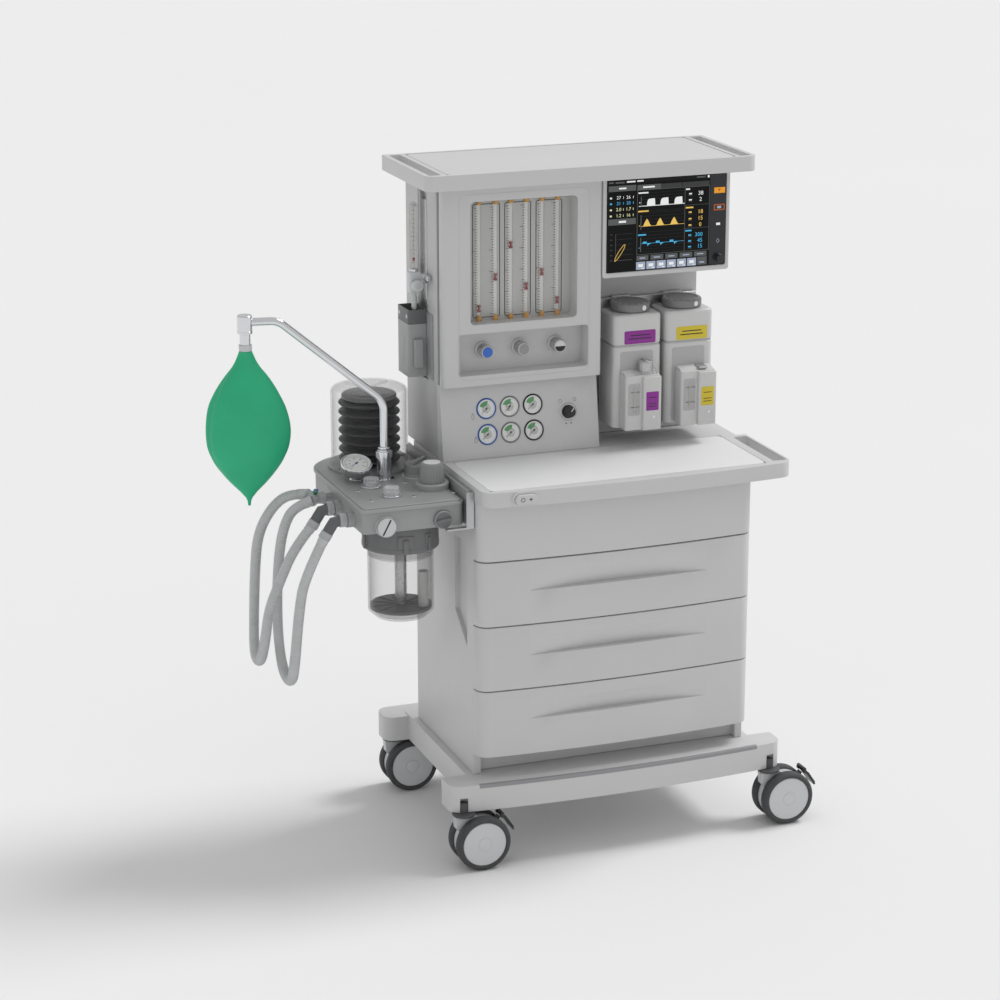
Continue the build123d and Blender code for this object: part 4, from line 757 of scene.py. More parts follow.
# ---------------------------------------------------------------- worktop and top tray
# Two moulded trays with soft edges. Thin mats lie in their pockets, and the worktop's front edge
# holds the oval oxygen flush button in a raised boss.
tray_top = moulded("mat_pale", (0.60, 0.60, 0.605), 0.5, 420, 0.00012)
mark_grey = moulded("print_dark", (0.06, 0.06, 0.065), 0.6, 500)
eased("worktop", "machine", body_white, width=3.2, segments=4)
eased("top_tray", "machine", body_white, width=4, segments=4)
worktop_mat = Build()
worktop_mat.plate(rounded_rectangle(-285.3, 315, -25, 198.6, 13), 794.6, 796.35, edge=0.4)
worktop_pale = moulded("worktop_pale", (0.76, 0.76, 0.765), 0.5, 420, 0.00012)
worktop_mat.piece("worktop_mat_fitted", "machine", worktop_pale, "mat_grey", "worktop_mat")
tray_mat = Build()
tray_mat.plate(rounded_rectangle(-310.5, 310.5, 148, 407, 12), 1398.1, 1399.7, edge=0.4)
tray_mat.piece("tray_mat_fitted", "machine", tray_top, "mat_grey", "tray_mat")
# A thin dark grey band round each mat is painted shade, standing in for the shadow in the gap between mat
# and tray.
mat_gap_shade = Build()
for outline, height in ((rounded_rectangle(-311.6, 311.6, 147, 408, 12.5), 1398.0),
                        (rounded_rectangle(-286.0, 315.8, -25.6, 199.3, 13.5), 794.5)):
    mat_gap_shade.plate(outline, height, height + 1.05)
mat_gap_shade.piece("mat_grooves", "machine", inside_grey, "mat_grey")
eased("oxygen_flush_button", "oxygen_flush_button", body_white, width=2, segments=4)
flush_low, flush_high = (FROM_METRES @ Vector(corner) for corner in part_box("oxygen_flush_button"))
mark = Build()
on_button = facing((flush_low.x + flush_high.x) / 2, flush_low.y, (flush_low.z + flush_high.z) / 2)
ring = [on_button @ Vector((-8 + 4 * cos(turn * pi / 12), 4 * sin(turn * pi / 12),
                            0.05)) for turn in range(24)]
mark.swept(ring, 0.6, sides=6, loop=True)
for x0, x1, y0, y1 in ((5, 12, -0.8, 0.8), (7.7, 9.3, -3.5, 3.5)):
    mark.plate([(x0, y0), (x1, y0), (x1, y1), (x0, y1)], -0.2, 0.25, on_button)
mark.piece("flush_mark", "oxygen_flush_button", mark_grey, "knob_black")

# ---------------------------------------------------------------- gas column
# The column is a folded and painted shell. Its side carries a grooved rail for the auxiliary
# flowmeter, and a screwed holder. The front moulding holds the window and the flow knobs.
eased("column_shell", "machine", shell_grey, width=1.6)
eased("flowmeter_fascia", "machine", body_white, width=2.2, segments=4)
FASCIA_FRONT = 200
outline = Build()
border = [facing(0, FASCIA_FRONT, 0) @ Vector((x, z, -0.25)) for x, z in rounded_rectangle(-269, 13,
        966, 1347, 14, 6)]
outline.swept(border, 0.75, sides=8, loop=True)
outline.piece("fascia_bead", "machine", shell_grey, "body_white")
rear = Build()
behind = rearwards(435)
rear.plate(rounded_rectangle(-262, 262, 830, 1335, 12), 0, 2.2, behind, edge=0.8)
rear.piece("column_back_panel", "machine", shell_grey, "shell_grey")
rows("column_screws", screw(3.4, 1.7, BACKWARDS), [(4, (x, 437.1, 845), (0, 0, 158)) for x in (-250,
        250)], steel, "machine", "manifold")
rows("column_louvres", louvre, [(12, (x, 437.0, 1150), (0, 0, 10)) for x in (-120, 0, 120)], shell_grey,
     "machine", "shell_grey")
rail = Build()
for y in (303, 347):
    rail.plate(rounded_rectangle(-303.6 + 1, -292, y - 1.2, y + 1.2, 0.6, 2), 952, 1337)
rail.piece("side_rail", "machine", steel, "manifold")

# The flowmeter: a pale back plate with three framed pairs of clear tubes. Their scales are
# printed beside them, amber seals hold them at both ends, and maroon floats ride inside.
plate_pale = moulded("rack_pale", (0.50, 0.50, 0.49), 0.5, 700)
seal_amber = moulded("seal_amber", (0.62, 0.30, 0.03), 0.28, 700, coat=0.3)
tube_clear = clear("tube_clear", (0.70, 0.71, 0.70), body=0.05, rim=0.5)
scale_white = moulded("scale_white", (0.78, 0.78, 0.75), 0.45, 700)
print_black = moulded("print_black", (0.012, 0.013, 0.014), 0.5, 900)
TUBE_FRAMES = ((-215, -179), (-146, -112), (-78, -44))
TUBE_Y = 233
RACK_Y = 238.7
FRAME_LOW, FRAME_HIGH = 1086, 1319
SCALE_LOW, SCALE_LONG = 1092, 220
STRIP_WIDE = 4.2
rack = Build()
on_rack = rearwards(RACK_Y)
rack.plate(rounded_rectangle(-247.6, -10.4, 1077.5, 1334.5, 4), 0, 3.6, on_rack, 0)
glass = Build()
scales = Build()
for tubes in TUBE_FRAMES:
    frame_outline = rounded_rectangle(tubes[0] - 11, tubes[1] + 11, FRAME_LOW, FRAME_HIGH, 4, 4)
    scales.swept([Vector((x, RACK_Y - 0.3, z)) for x, z in frame_outline], 0.85, 1, sides=6, loop=True)
    for x in tubes:
        scales.plate(rounded_rectangle(x - STRIP_WIDE, x + STRIP_WIDE, FRAME_LOW + 1.5,
                                       FRAME_HIGH - 1.5, 1, 2), -0.45, 0.1, on_rack, 0)
        glass.turned([(4.4, 1089.5), (4.5, 1090), (4.5, 1320), (4.4, 1320.5)], standing(x, TUBE_Y),
                     sides=20)
        for low, high in ((1079.2, 1091), (1319, 1330.5)):
            rack.turned(softened([(AXIS, low), (4.2, low), (5.1, low + 1.5), (5.1, high - 3),
                                  (4.3, high - 2), (4.3, high), (AXIS, high)], 0.5),
                        standing(x, TUBE_Y), 1, sides=20)
            rack.plate([(x - 2.8, low + 2), (x + 2.8, low + 2), (x + 2.8, high - 2),
                        (x - 2.8, high - 2)], -6, 0.5, on_rack, 0)
rack.piece("tube_rack", "machine", [plate_pale, seal_amber], "manifold")
scales.piece("flow_scales", "machine", [scale_white, print_black], "gauge_face")
glass.piece("flow_tubes", "machine", tube_clear, "tube_glass", "flow_tube_rack")
for name, width, count in (("long", 5.0, 11), ("short", 3.4, 41)):
    tick = Build()
    tick.plate([(-width / 2, -0.5), (width / 2, -0.5), (width / 2, 0.5), (-width / 2, 0.5)], 0, 0.3,
               forwards(0))
    pitch = SCALE_LONG / (count - 1)
    rows("scale_ticks_" + name, tick, [(count, (x - 2.4 - width / 2, RACK_Y - 0.4, SCALE_LOW),
                                        (0, 0, pitch)) for tubes in TUBE_FRAMES for x in tubes],
         print_black, "machine", "knob_black")


def lettering(build, words, size, place, coat=0, thickness=0.12):
    """Raised print of generic figures, centred on the frame's origin."""
    curve = bpy.data.curves.new("print", "FONT")
    curve.body = words
    curve.size = size
    curve.align_x = "CENTER"
    curve.align_y = "CENTER"
    curve.resolution_u = 2
    holder = placed("print", curve)
    flat = as_mesh(holder)
    start = len(build.points)
    count = len(flat.vertices)
    edge_uses = {}
    for face in flat.polygons:
        for edge in face.edge_keys:
            edge_uses[edge] = edge_uses.get(edge, 0) + 1
    for height in (0, thickness):
        build.points.extend(place @ Vector((vertex.co.x, vertex.co.y,
                                            height)) for vertex in flat.vertices)
    for face in flat.polygons:
        build.faces.append(tuple(start + count + index for index in face.vertices))
        build.faces.append(tuple(start + index for index in reversed(face.vertices)))
        build.coats += [coat, coat]
    for (first, second), uses in edge_uses.items():
        if uses == 1:
            build.faces.append((start + first, start + second, start + count + second,
                                start + count + first))
            build.coats.append(coat)
    bpy.data.meshes.remove(flat)
    return build


numbers = Build()
for tubes, top in zip(TUBE_FRAMES, (10, 12, 15)):
    for x, most in zip(tubes, (top, top / 10)):
        for step in range(0, 11, 2):
            figure = round(most * step / 10, 2)
            lettering(numbers, format(figure, "g"), 3.8, facing(x - 9.4, RACK_Y - 0.15,
                                                                SCALE_LOW + SCALE_LONG * step / 10))
numbers.piece("scale_figures", "machine", print_black, "knob_black")
float_red = moulded("float_maroon", (0.30, 0.02, 0.022), 0.25, 700, coat=0.4)
float_heights = ((1099, 1162), (1226, 1138), (1165, 1104))
for gas, (tubes, lows) in enumerate(zip(TUBE_FRAMES, float_heights)):
    bobbins = Build()
    for x, low in zip(tubes, lows):
        bobbins.turned([(AXIS, low), (3.9, low), (3.9, low + 3.6), (2.2, low + 5.4), (2.0, low + 7),
                        (2.2, low + 8.6), (3.9, low + 10.4), (3.9, low + 14), (AXIS, low + 14)],
                       standing(x, TUBE_Y), sides=24)
    name = "flow_floats_" + str(gas + 1)
    bobbins.piece(name + "_turned", name, float_red, "float_red", name)
window = Build()
window.plate(rounded_rectangle(-244.5, -13.5, 1080.5, 1331.5, 9.5), 0, 3, rearwards(FASCIA_FRONT + 4),
             edge=0.4)
pane = clear("window_pane", (0.85, 0.87, 0.87), body=0.01, rim=0.1, roughness=0.03)
window.piece("window_pane_fitted", "machine", pane, "window", "flowmeter_window")

# Three fluted flow knobs on spun collars; each has its own cap, so the gases can't be mistaken.
collar_white = moulded("collar_white", (0.62, 0.62, 0.61), 0.3, 800, coat=0.2)
flute_grey = metal("flute_grey", (0.52, 0.52, 0.53), 0.26, (800, 800, 800), metallic=0.7)
cap_coats = ([moulded("gas_blue", (0.02, 0.13, 0.55), 0.3, 700, coat=0.3)] * 2,
             [moulded("gas_grey", (0.30, 0.30, 0.30), 0.35, 700)] * 2, [moulded("gas_white",
        (0.66, 0.66, 0.66), 0.3, 700, coat=0.3), print_black])
KNOB_Z = 1019
KNOB_BACK = 241
for gas, x in enumerate((-205, -125.5, -46)):
    front = facing(x, KNOB_BACK - 0.8, KNOB_Z)
    knob = Build()
    knob.turned(softened([(AXIS, 0), (17, 0), (17, 2.4), (15.4, 4.8), (AXIS, 4.8)], 0.8), front, 0,
                sides=56)
    knob.turned(softened([(AXIS, 4.6), (14, 4.6), (14, 29), (12.6, 30.6), (AXIS, 30.6)], 0.6), front, 1,
                sides=144, flutes=24, depth=1.1)
    knob.turned(softened([(AXIS, 30.4), (12.6, 30.4), (12.6, 31.4), (11.6, 31.9), (11.2, 31.3),
                          (AXIS, 31.3)], 0.3), front, 0, sides=48)
    for half, coat in ((0, 2), (1, 3)):
        sector = [(10.9 * cos(pi * (half + step / 16)),
                   10.9 * sin(pi * (half + step / 16))) for step in range(17)]
        knob.plate(sector, 31.2, 31.9, front, coat, edge=0.15, steps=2)
    knob.turned([(AXIS, -3.5), (3, -3.5), (3, 0.5), (AXIS, 0.5)], front, 1, sides=16)
    name = "flow_knob_" + str(gas + 1)
    knob.piece(name + "_fluted", name, [collar_white, flute_grey, *cap_coats[gas]], "knob_grey", name)

# ---------------------------------------------------------------- gauges and selector
# Six pressure gauges look through a slanted painted panel, each with a coloured bezel, a white
# dial and a green sector. The selector is a black knob on a bright skirt.
eased("gauge_panel", "machine", body_white, width=1.6)
PANEL_FOOT, PANEL_HEAD = Vector((205.5, 796.5)), Vector((228.5, 953))
PANEL_RUN = PANEL_HEAD - PANEL_FOOT
GAUGE_TILT = degrees(atan2(PANEL_RUN.x, PANEL_RUN.y))


def on_panel(x, z):
    """The frame of a point on the slanted panel, its Z out towards the user."""
    return facing(x, PANEL_FOOT.x + (z - PANEL_FOOT.y) * PANEL_RUN.x / PANEL_RUN.y, z, GAUGE_TILT)


bezel_coats = [moulded("bezel_blue", (0.03, 0.12, 0.45), 0.3, 700, coat=0.2),
               moulded("bezel_grey", (0.24, 0.24, 0.25), 0.35, 700), moulded("bezel_black",
        (0.015, 0.015, 0.017), 0.35, 700)]
dial_white = moulded("dial_white", (0.80, 0.81, 0.79), 0.45, 700)
dial_green = moulded("dial_green", (0.08, 0.32, 0.11), 0.45, 700)
lens = clear("gauge_lens", (0.9, 0.91, 0.91), body=0.01, rim=0.1, roughness=0.03)
gauges = Build()
lenses = Build()
for row_z in (898, 845):
    for column_index, x in enumerate((-204, -153, -102)):
        front = on_panel(x, row_z)
        gauges.turned(softened([(18.6, 0.2), (18.9, 1.6), (20, 2.4), (21.3, 1.4), (21.3, -8)],
                               0.6) + [(18.6, -8)], front, 2 + column_index, sides=56)
        gauges.turned([(AXIS, -9), (19.4, -9), (19.4, 0.3), (AXIS, 0.3)], front, 0, sides=56)
        sector = [(6 * cos(radians(turn)), 6 * sin(radians(turn))) for turn in range(160, 74, -5)]
        sector = [(15.5 * cos(radians(turn)), 15.5 * sin(radians(turn))) for turn in range(75, 161,
                5)] + sector
        gauges.plate(sector, 0.2, 0.42, front, 1)
        for step in range(16):
            turn = radians(62 - 8 * step)
            tick = front @ Matrix.Rotation(turn, 4, "Z")
            inner = 14.4 if step % 5 == 0 else 15.8
            gauges.plate([(inner, -0.16), (17.0, -0.16), (17.0, 0.16), (inner, 0.16)], 0.2, 0.4, tick,
                         3)
        needle = front @ Matrix.Rotation(radians(222), 4, "Z")
        gauges.plate([(-3, -0.55), (14.5, -0.3), (14.5, 0.3), (-3, 0.55)], 0.9, 1.2, needle, 4)
        gauges.turned([(AXIS, 0.3), (1.8, 0.3), (1.8, 1.5), (AXIS, 1.7)], front, 4, sides=16)
        lenses.turned([(AXIS, 1.75), (18.7, 1.75), (18.7, 2.05), (AXIS, 2.35)], front, 0, sides=40)
gauges.piece("pressure_gauge_set", "machine", [dial_white, dial_green, *bezel_coats], "gauge_face",
             "pressure_gauges")
lenses.piece("gauge_lenses", "machine", lens, "window")
selector = Build()
front = on_panel(-24, 876)
selector.turned(softened([(AXIS, 0.7), (13.6, 0.7), (13.6, 1.8), (12.4, 3.2), (AXIS, 3.2)], 0.5), front,
                0, sides=48)
selector.turned(softened([(AXIS, 3), (12, 3), (11.4, 14.5), (10.2, 15.8), (AXIS, 16.2)], 0.8), front, 0,
                sides=120, flutes=20, depth=0.4)
selector.turned([(AXIS, -20), (3, -20), (3, 1), (AXIS, 1)], front, 1, sides=16)
pointer = front @ Matrix.Rotation(radians(50), 4, "Z")
selector.plate([(1.5, -0.8), (9.8, -0.8), (9.8, 0.8), (1.5, 0.8)], 15.6, 16.5, pointer, 2)
selector.piece("selector_knob_turned", "selector_knob", [bezel_coats[2], steel, dial_white],
               "knob_black", "selector_knob")
marks = Build()
marks.turned(softened([(14, 0.1), (14, 1.6), (17, 1.6), (18.6, 0.1)], 0.3), front, 1, sides=56)
for x, z in ((-234, 884), (-230, 836)):
    spot = on_panel(x, z)
    bottle = [spot @ Vector((px, pz, 0.15)) for px, pz in rounded_rectangle(-2.4, 2.4, -6, 4, 1.6, 3)]
    marks.swept(bottle, 0.28, sides=6, loop=True)
    neck = [spot @ Vector((px, pz, 0.15)) for px, pz in rounded_rectangle(-1.1, 1.1, 4, 6.6, 0.5, 2)]
    marks.swept(neck, 0.25, sides=6, loop=True)
for x, z in ((-41, 899), (-9, 900)):
    spot = on_panel(x, z)
    drop = [spot @ Vector((3.2 * cos(turn * pi / 10),
                           3.2 * sin(turn * pi / 10) * (1.3 if turn < 10 else 1),
                           0.15)) for turn in range(20)]
    marks.swept(drop, 0.28, sides=6, loop=True)
for x in (-30, -19):
    marks.plate(circle(0, 0, 1.5, 16), 0, 0.25, on_panel(x, 852), 0)
marks.piece("panel_marks", "machine", [mark_grey, steel], "knob_black")

# ---------------------------------------------------------------- display
# A moulded housing with a glossy black glass front. Behind the glass a lit screen shows figures,
# three traces and a loop; a strip beside it has two lit keys, and the dial turns below them.
eased("display_housing", "machine", body_white, width=2.2, segments=4)
SCREEN_FRONT = 197.5
glass_black = Finish("glass_black", Specular_IOR_Level=0.2)
film = glass_black.wire.noise(9, 4)
glass_black.put("Base Color", glass_black.wire.tones(film, (0.006, 0.006, 0.007),
                                                     (0.016, 0.016, 0.018)))
glass_black.put("Roughness", film * 0.12 + 0.12)
strip_black = moulded("key_strip", (0.012, 0.013, 0.017), 0.3, 700)


def lit(name, colour, strength=1.0):
    """A lit part of the screen, with its fine raster."""
    made = Finish(name, Roughness=0.4, Specular_IOR_Level=0.05, Emission_Strength=strength)
    raster = made.wire.noise(1600, 1)
    made.put("Base Color", (0.01, 0.01, 0.01))
    made.put("Emission Color", made.wire.tones(raster, shade(colour, 0.86), colour))
    return made.material


WHITE, GOLD, BLUE, GREY, LINE, PALE, KEY, LEMON, DARK, RUST = range(10)
screen_lights = [lit("screen_white", (0.85, 0.86, 0.86)), lit("screen_gold", (0.86, 0.56, 0.13)),
                 lit("screen_blue", (0.08, 0.46, 0.76)), lit("screen_grey", (0.10, 0.105, 0.105)),
                 lit("screen_line", (0.045, 0.046, 0.046)), lit("screen_pale", (0.36, 0.41, 0.52)),
                 lit("key_orange", (0.80, 0.33, 0.03)), lit("screen_lemon", (0.80, 0.80, 0.45)),
                 lit("screen_dark", (0.0022, 0.0024, 0.0026)), lit("key_rust", (0.42, 0.10, 0.02))]
glass_front = Build()
on_glass = forwards(SCREEN_FRONT)
glass_front.plate(rounded_rectangle(51.7, 316.8, 1166.2, 1357.8, 5), -12, 0, on_glass, 0, edge=0.8)
glass_front.plate(rounded_rectangle(280, 315.5, 1168, 1356.5, 3), -0.5, 0.14, on_glass, 1)
glass_front.piece("display_glass", "machine", [glass_black.material, strip_black], "screen",
                  "display_screen")
screen = Build()


def bar(x0, x1, z0, z1, light, layer=1):
    """A flat lit block on the screen."""
    screen.plate([(x0, z0), (x1, z0), (x1, z1), (x0, z1)], 0.02, 0.06 + 0.05 * layer, on_glass, light)


def trace(points, light, width=0.7):
    """A lit line through points on the screen."""
    for (ax, az), (bx, bz) in zip(points, points[1:]):
        long = hypot(bx - ax, bz - az) or 1
        nx, nz = -(bz - az) / long * width / 2, (bx - ax) / long * width / 2
        screen.plate([(ax - nx, az - nz), (bx - nx, bz - nz), (bx + nx, bz + nz), (ax + nx, az + nz)],
                     0.03, 0.16, on_glass, light)


def figure(words, size, x, z, light):
    """Lit figures on the screen."""
    lettering(screen, words, size, on_glass @ Matrix.Translation((x, z, 0.06)), light, 0.12)


bar(53, 278.5, 1167.5, 1349, DARK, 0)
for z0, z1 in ((1333.8, 1345.4), (1264.6, 1277.2)):
    bar(53, 113.6, z0, z1, GREY)
    bar(76, 92, z0 + 4.2, z1 - 4.2, WHITE, 2)
for z, light, first, second in ((1320.7, WHITE, "27", "26"), (1309, BLUE, "21", "20"),
                                (1296.4, LEMON, "2.0", "1.7"), (1283.8, LEMON, "1.2", "16")):
    figure(first, 9.5, 75.5, z, light)
    figure(second, 9.5, 97, z, light)
    bar(56, 60.5, z - 1.8, z + 1.6, light)
    bar(85.4, 86.4, z - 2.4, z + 2.4, light)
    bar(107.2, 108.4, z - 2.4, z + 2.4, light)
for step in range(6):
    z = 1191.4 + 10.8 * step
    bar(68, 107, z - 0.25, z + 0.25, LINE)
    bar(58, 62, z - 0.6, z + 0.6, GREY)
bar(69.2, 70, 1189, 1246, GREY)
bar(67, 107, 1190.6, 1191.4, GREY)
loop = []
for step in range(33):
    turn = 2 * pi * step / 32
    along, across = 20.0 * cos(turn), 3.4 * sin(turn)
    loop.append((79.2 + along * 0.56 - across * 0.83, 1206.6 + along * 0.83 + across * 0.56))
trace(loop, GOLD, 1.1)
bar(116.3, 278.6, 1199.6, 1200.6, GREY)
bar(116.3, 278.6, 1333.2, 1334.2, GREY)
bar(116.3, 117.3, 1199.6, 1334.2, GREY)
bar(277.6, 278.6, 1199.6, 1334.2, GREY)
bar(222.6, 223.6, 1200.6, 1333.2, GREY)
for z in (1295.9, 1247.5):
    bar(223.6, 277.6, z - 0.3, z + 0.3, GREY)
bar(116.6, 169.3, 1334.2, 1344.5, GREY)
bar(129, 155, 1337.6, 1341, WHITE, 2)
bar(170.4, 216, 1334.4, 1344, LINE)
bar(217, 277.6, 1334.4, 1344, LINE)
for z in (1290, 1286, 1327, 1321, 1314, 1307, 1279, 1272, 1265, 1246, 1239, 1232, 1217, 1211, 1205):
    bar(126, 222.4, z - 0.15, z + 0.15, LINE)
for base, top, light in ((1300.8, 1320, WHITE), (1253, 1282, GOLD), (1207, 1235, BLUE)):
    bar(124.4, 126.2, base - 1.4, top, GREY)
    bar(121, 123.4, base + 6, base + 7.6, light)
bar(120, 222.4, 1299.6, 1301, WHITE)
bar(126, 222.4, 1257.9, 1258.7, GOLD)
bar(126, 222.4, 1222.0, 1222.7, BLUE)
for x in (147.3, 177.2, 208.4):
    hump = [(x - 9.3, 1300.8), (x + 9.3, 1300.8), (x + 8.6, 1311), (x + 8.0, 1315.2), (x - 4, 1314.6),
            (x - 7, 1312.6), (x - 8.4, 1309)]
    screen.plate(hump, 0.03, 0.17, on_glass, WHITE)
for x in (139, 168.3, 199.6):
    peak = [(x - 9.4, 1258.5), (x + 9.4, 1258.5), (x + 6.4, 1262), (x + 2.6, 1269.6), (x, 1273.6),
            (x - 3.2, 1270), (x - 6, 1265), (x - 8, 1260)]
    screen.plate(peak, 0.03, 0.17, on_glass, GOLD)
for x in (134, 163, 194):
    screen.plate([(x - 4.6, 1222.4), (x + 4.6, 1222.4), (x + 4.4, 1226.6), (x + 1, 1225.9),
                  (x - 3, 1226.8)], 0.03, 0.17, on_glass, BLUE)
    screen.plate([(x + 5, 1222.4), (x + 6.8, 1216.8), (x + 9, 1219.4), (x + 13.6, 1221.6),
                  (x + 15, 1222.4)], 0.03, 0.17, on_glass, BLUE)
for z, words, light in ((1319.3, "38", WHITE), (1306.5, "2", WHITE), (1280.9, "18", GOLD),
                        (1267.2, "15", GOLD), (1254.0, "0", GOLD), (1233.0, "300", BLUE),
                        (1220.8, "45", BLUE), (1208.8, "15", BLUE)):
    figure(words, 12.0, 258.3 if words != "300" else 255.5, z, light)
    bar(232, 238.5, z - 1.4, z + 1.4, light)
    bar(231, 240, z - 3.9, z - 3.2, GREY)
for x0, x1, z, light in ((119, 141, 1327.6, WHITE), (119, 142, 1289.6, GOLD), (119, 137, 1240.6, BLUE),
                         (225, 234, 1329, WHITE), (225, 242, 1290.6, GOLD), (225, 239, 1242.5, BLUE),
                         (93, 112, 1352.4, WHITE), (116, 130, 1352.8, WHITE), (54, 64, 1352, GREY),
                         (68, 88, 1351.6, GREY), (249, 268, 1352.8, GREY)):
    bar(x0, x1, z - 1.5, z + 1.5, light)
bar(273.4, 277.4, 1350.6, 1355.4, WHITE)
for x0, x1 in ((116.5, 142.9), (147.8, 176.2), (181, 208.4), (213.3, 241.7), (245.6, 273.9)):
    bar(x0, x1, 1187.4, 1197.6, GREY)
    bar(x0 + 7, x1 - 7, 1191.2, 1193.6, PALE, 2)
for step in range(6):
    x0 = 115.8 + 22.9 * step
    bar(x0, x0 + 20.4, 1168.6, 1184.8, PALE)
    bar(x0 + 5, x0 + 15.4, 1174, 1180, WHITE, 2)
    bar(x0 + 12, x0 + 18, 1170.2, 1171.8, WHITE, 2)
bar(253, 274.5, 1169, 1186, GREY)
bar(258, 269, 1173, 1176, PALE, 2)
bar(288.6, 313.1, 1316.7, 1328.6, KEY, 2)
screen.plate([(300, 1320.2), (303.4, 1325.6), (296.6, 1325.6)][::-1], 0.2, 0.3, on_glass, RUST)
for x0, x1, z0, z1 in ((288.6, 313.1, 1280.8, 1283), (288.6, 313.1, 1291.5, 1293.7),
                       (288.6, 290.8, 1280.8, 1293.7), (310.9, 313.1, 1280.8, 1293.7)):
    bar(x0, x1, z0, z1, RUST, 2)
bar(296, 305, 1284.8, 1289.8, PALE, 2)
bar(294.6, 303.4, 1249.8, 1254.8, WHITE, 2)
trace([(295.4, 1217), (299, 1221.4), (302.6, 1217), (299, 1212.6), (295.4, 1217)], PALE, 0.8)
screen.piece("screen_image", "machine", screen_lights, "screen")
dial = Build()
front = facing(300, SCREEN_FRONT - 0.8, 1182)
dial.turned(softened([(AXIS, 0), (9.5, 0), (9.5, 2), (8.2, 3), (7.8, 9.6), (7, 10.4), (AXIS, 10.6)],
                     0.5), front, 0, sides=96, flutes=16, depth=0.45)
dial.turned([(AXIS, 10.3), (5.4, 10.3), (5.2, 10.75), (AXIS, 10.8)], front, 1, sides=32)
dial.turned([(AXIS, -7), (3, -7), (3, 0.5), (AXIS, 0.5)], front, 1, sides=16)
dial.piece("display_dial_fluted", "display_dial", [strip_black, bezel_coats[2]], "knob_grey",
           "display_dial")

# ---------------------------------------------------------------- vaporizers
# Two enamelled vaporizers hang on the back bar. Each has a lid above a parting line, a colour
# label, a filler with a sight glass, and a fluted dial with a white release button.
enamel = moulded("vaporizer_enamel", (0.60, 0.60, 0.595), 0.34, 500, 0.00004, coat=0.25)
# A darker grey for the parting line, the ring under the dial, the front panel and the filler window's
# surround: painted shade standing in for the depth of these recesses.
enamel_painted_shade = moulded("vaporizer_recess", (0.45, 0.45, 0.455), 0.42, 500)
dial_grey = moulded("vaporizer_dial_grey", (0.20, 0.20, 0.205), 0.36, 700, coat=0.15)
label_purple = moulded("label_purple", (0.26, 0.012, 0.28), 0.35, 700, coat=0.2)
label_yellow = moulded("label_yellow", (0.66, 0.52, 0.02), 0.35, 700, coat=0.2)
sight = clear("sight_glass", (0.62, 0.62, 0.60), body=0.55, rim=0.3)
eased("vaporizer_manifold", "machine", steel, width=1.2)
BODY_FRONT = 200
FILLER_FRONT = 166
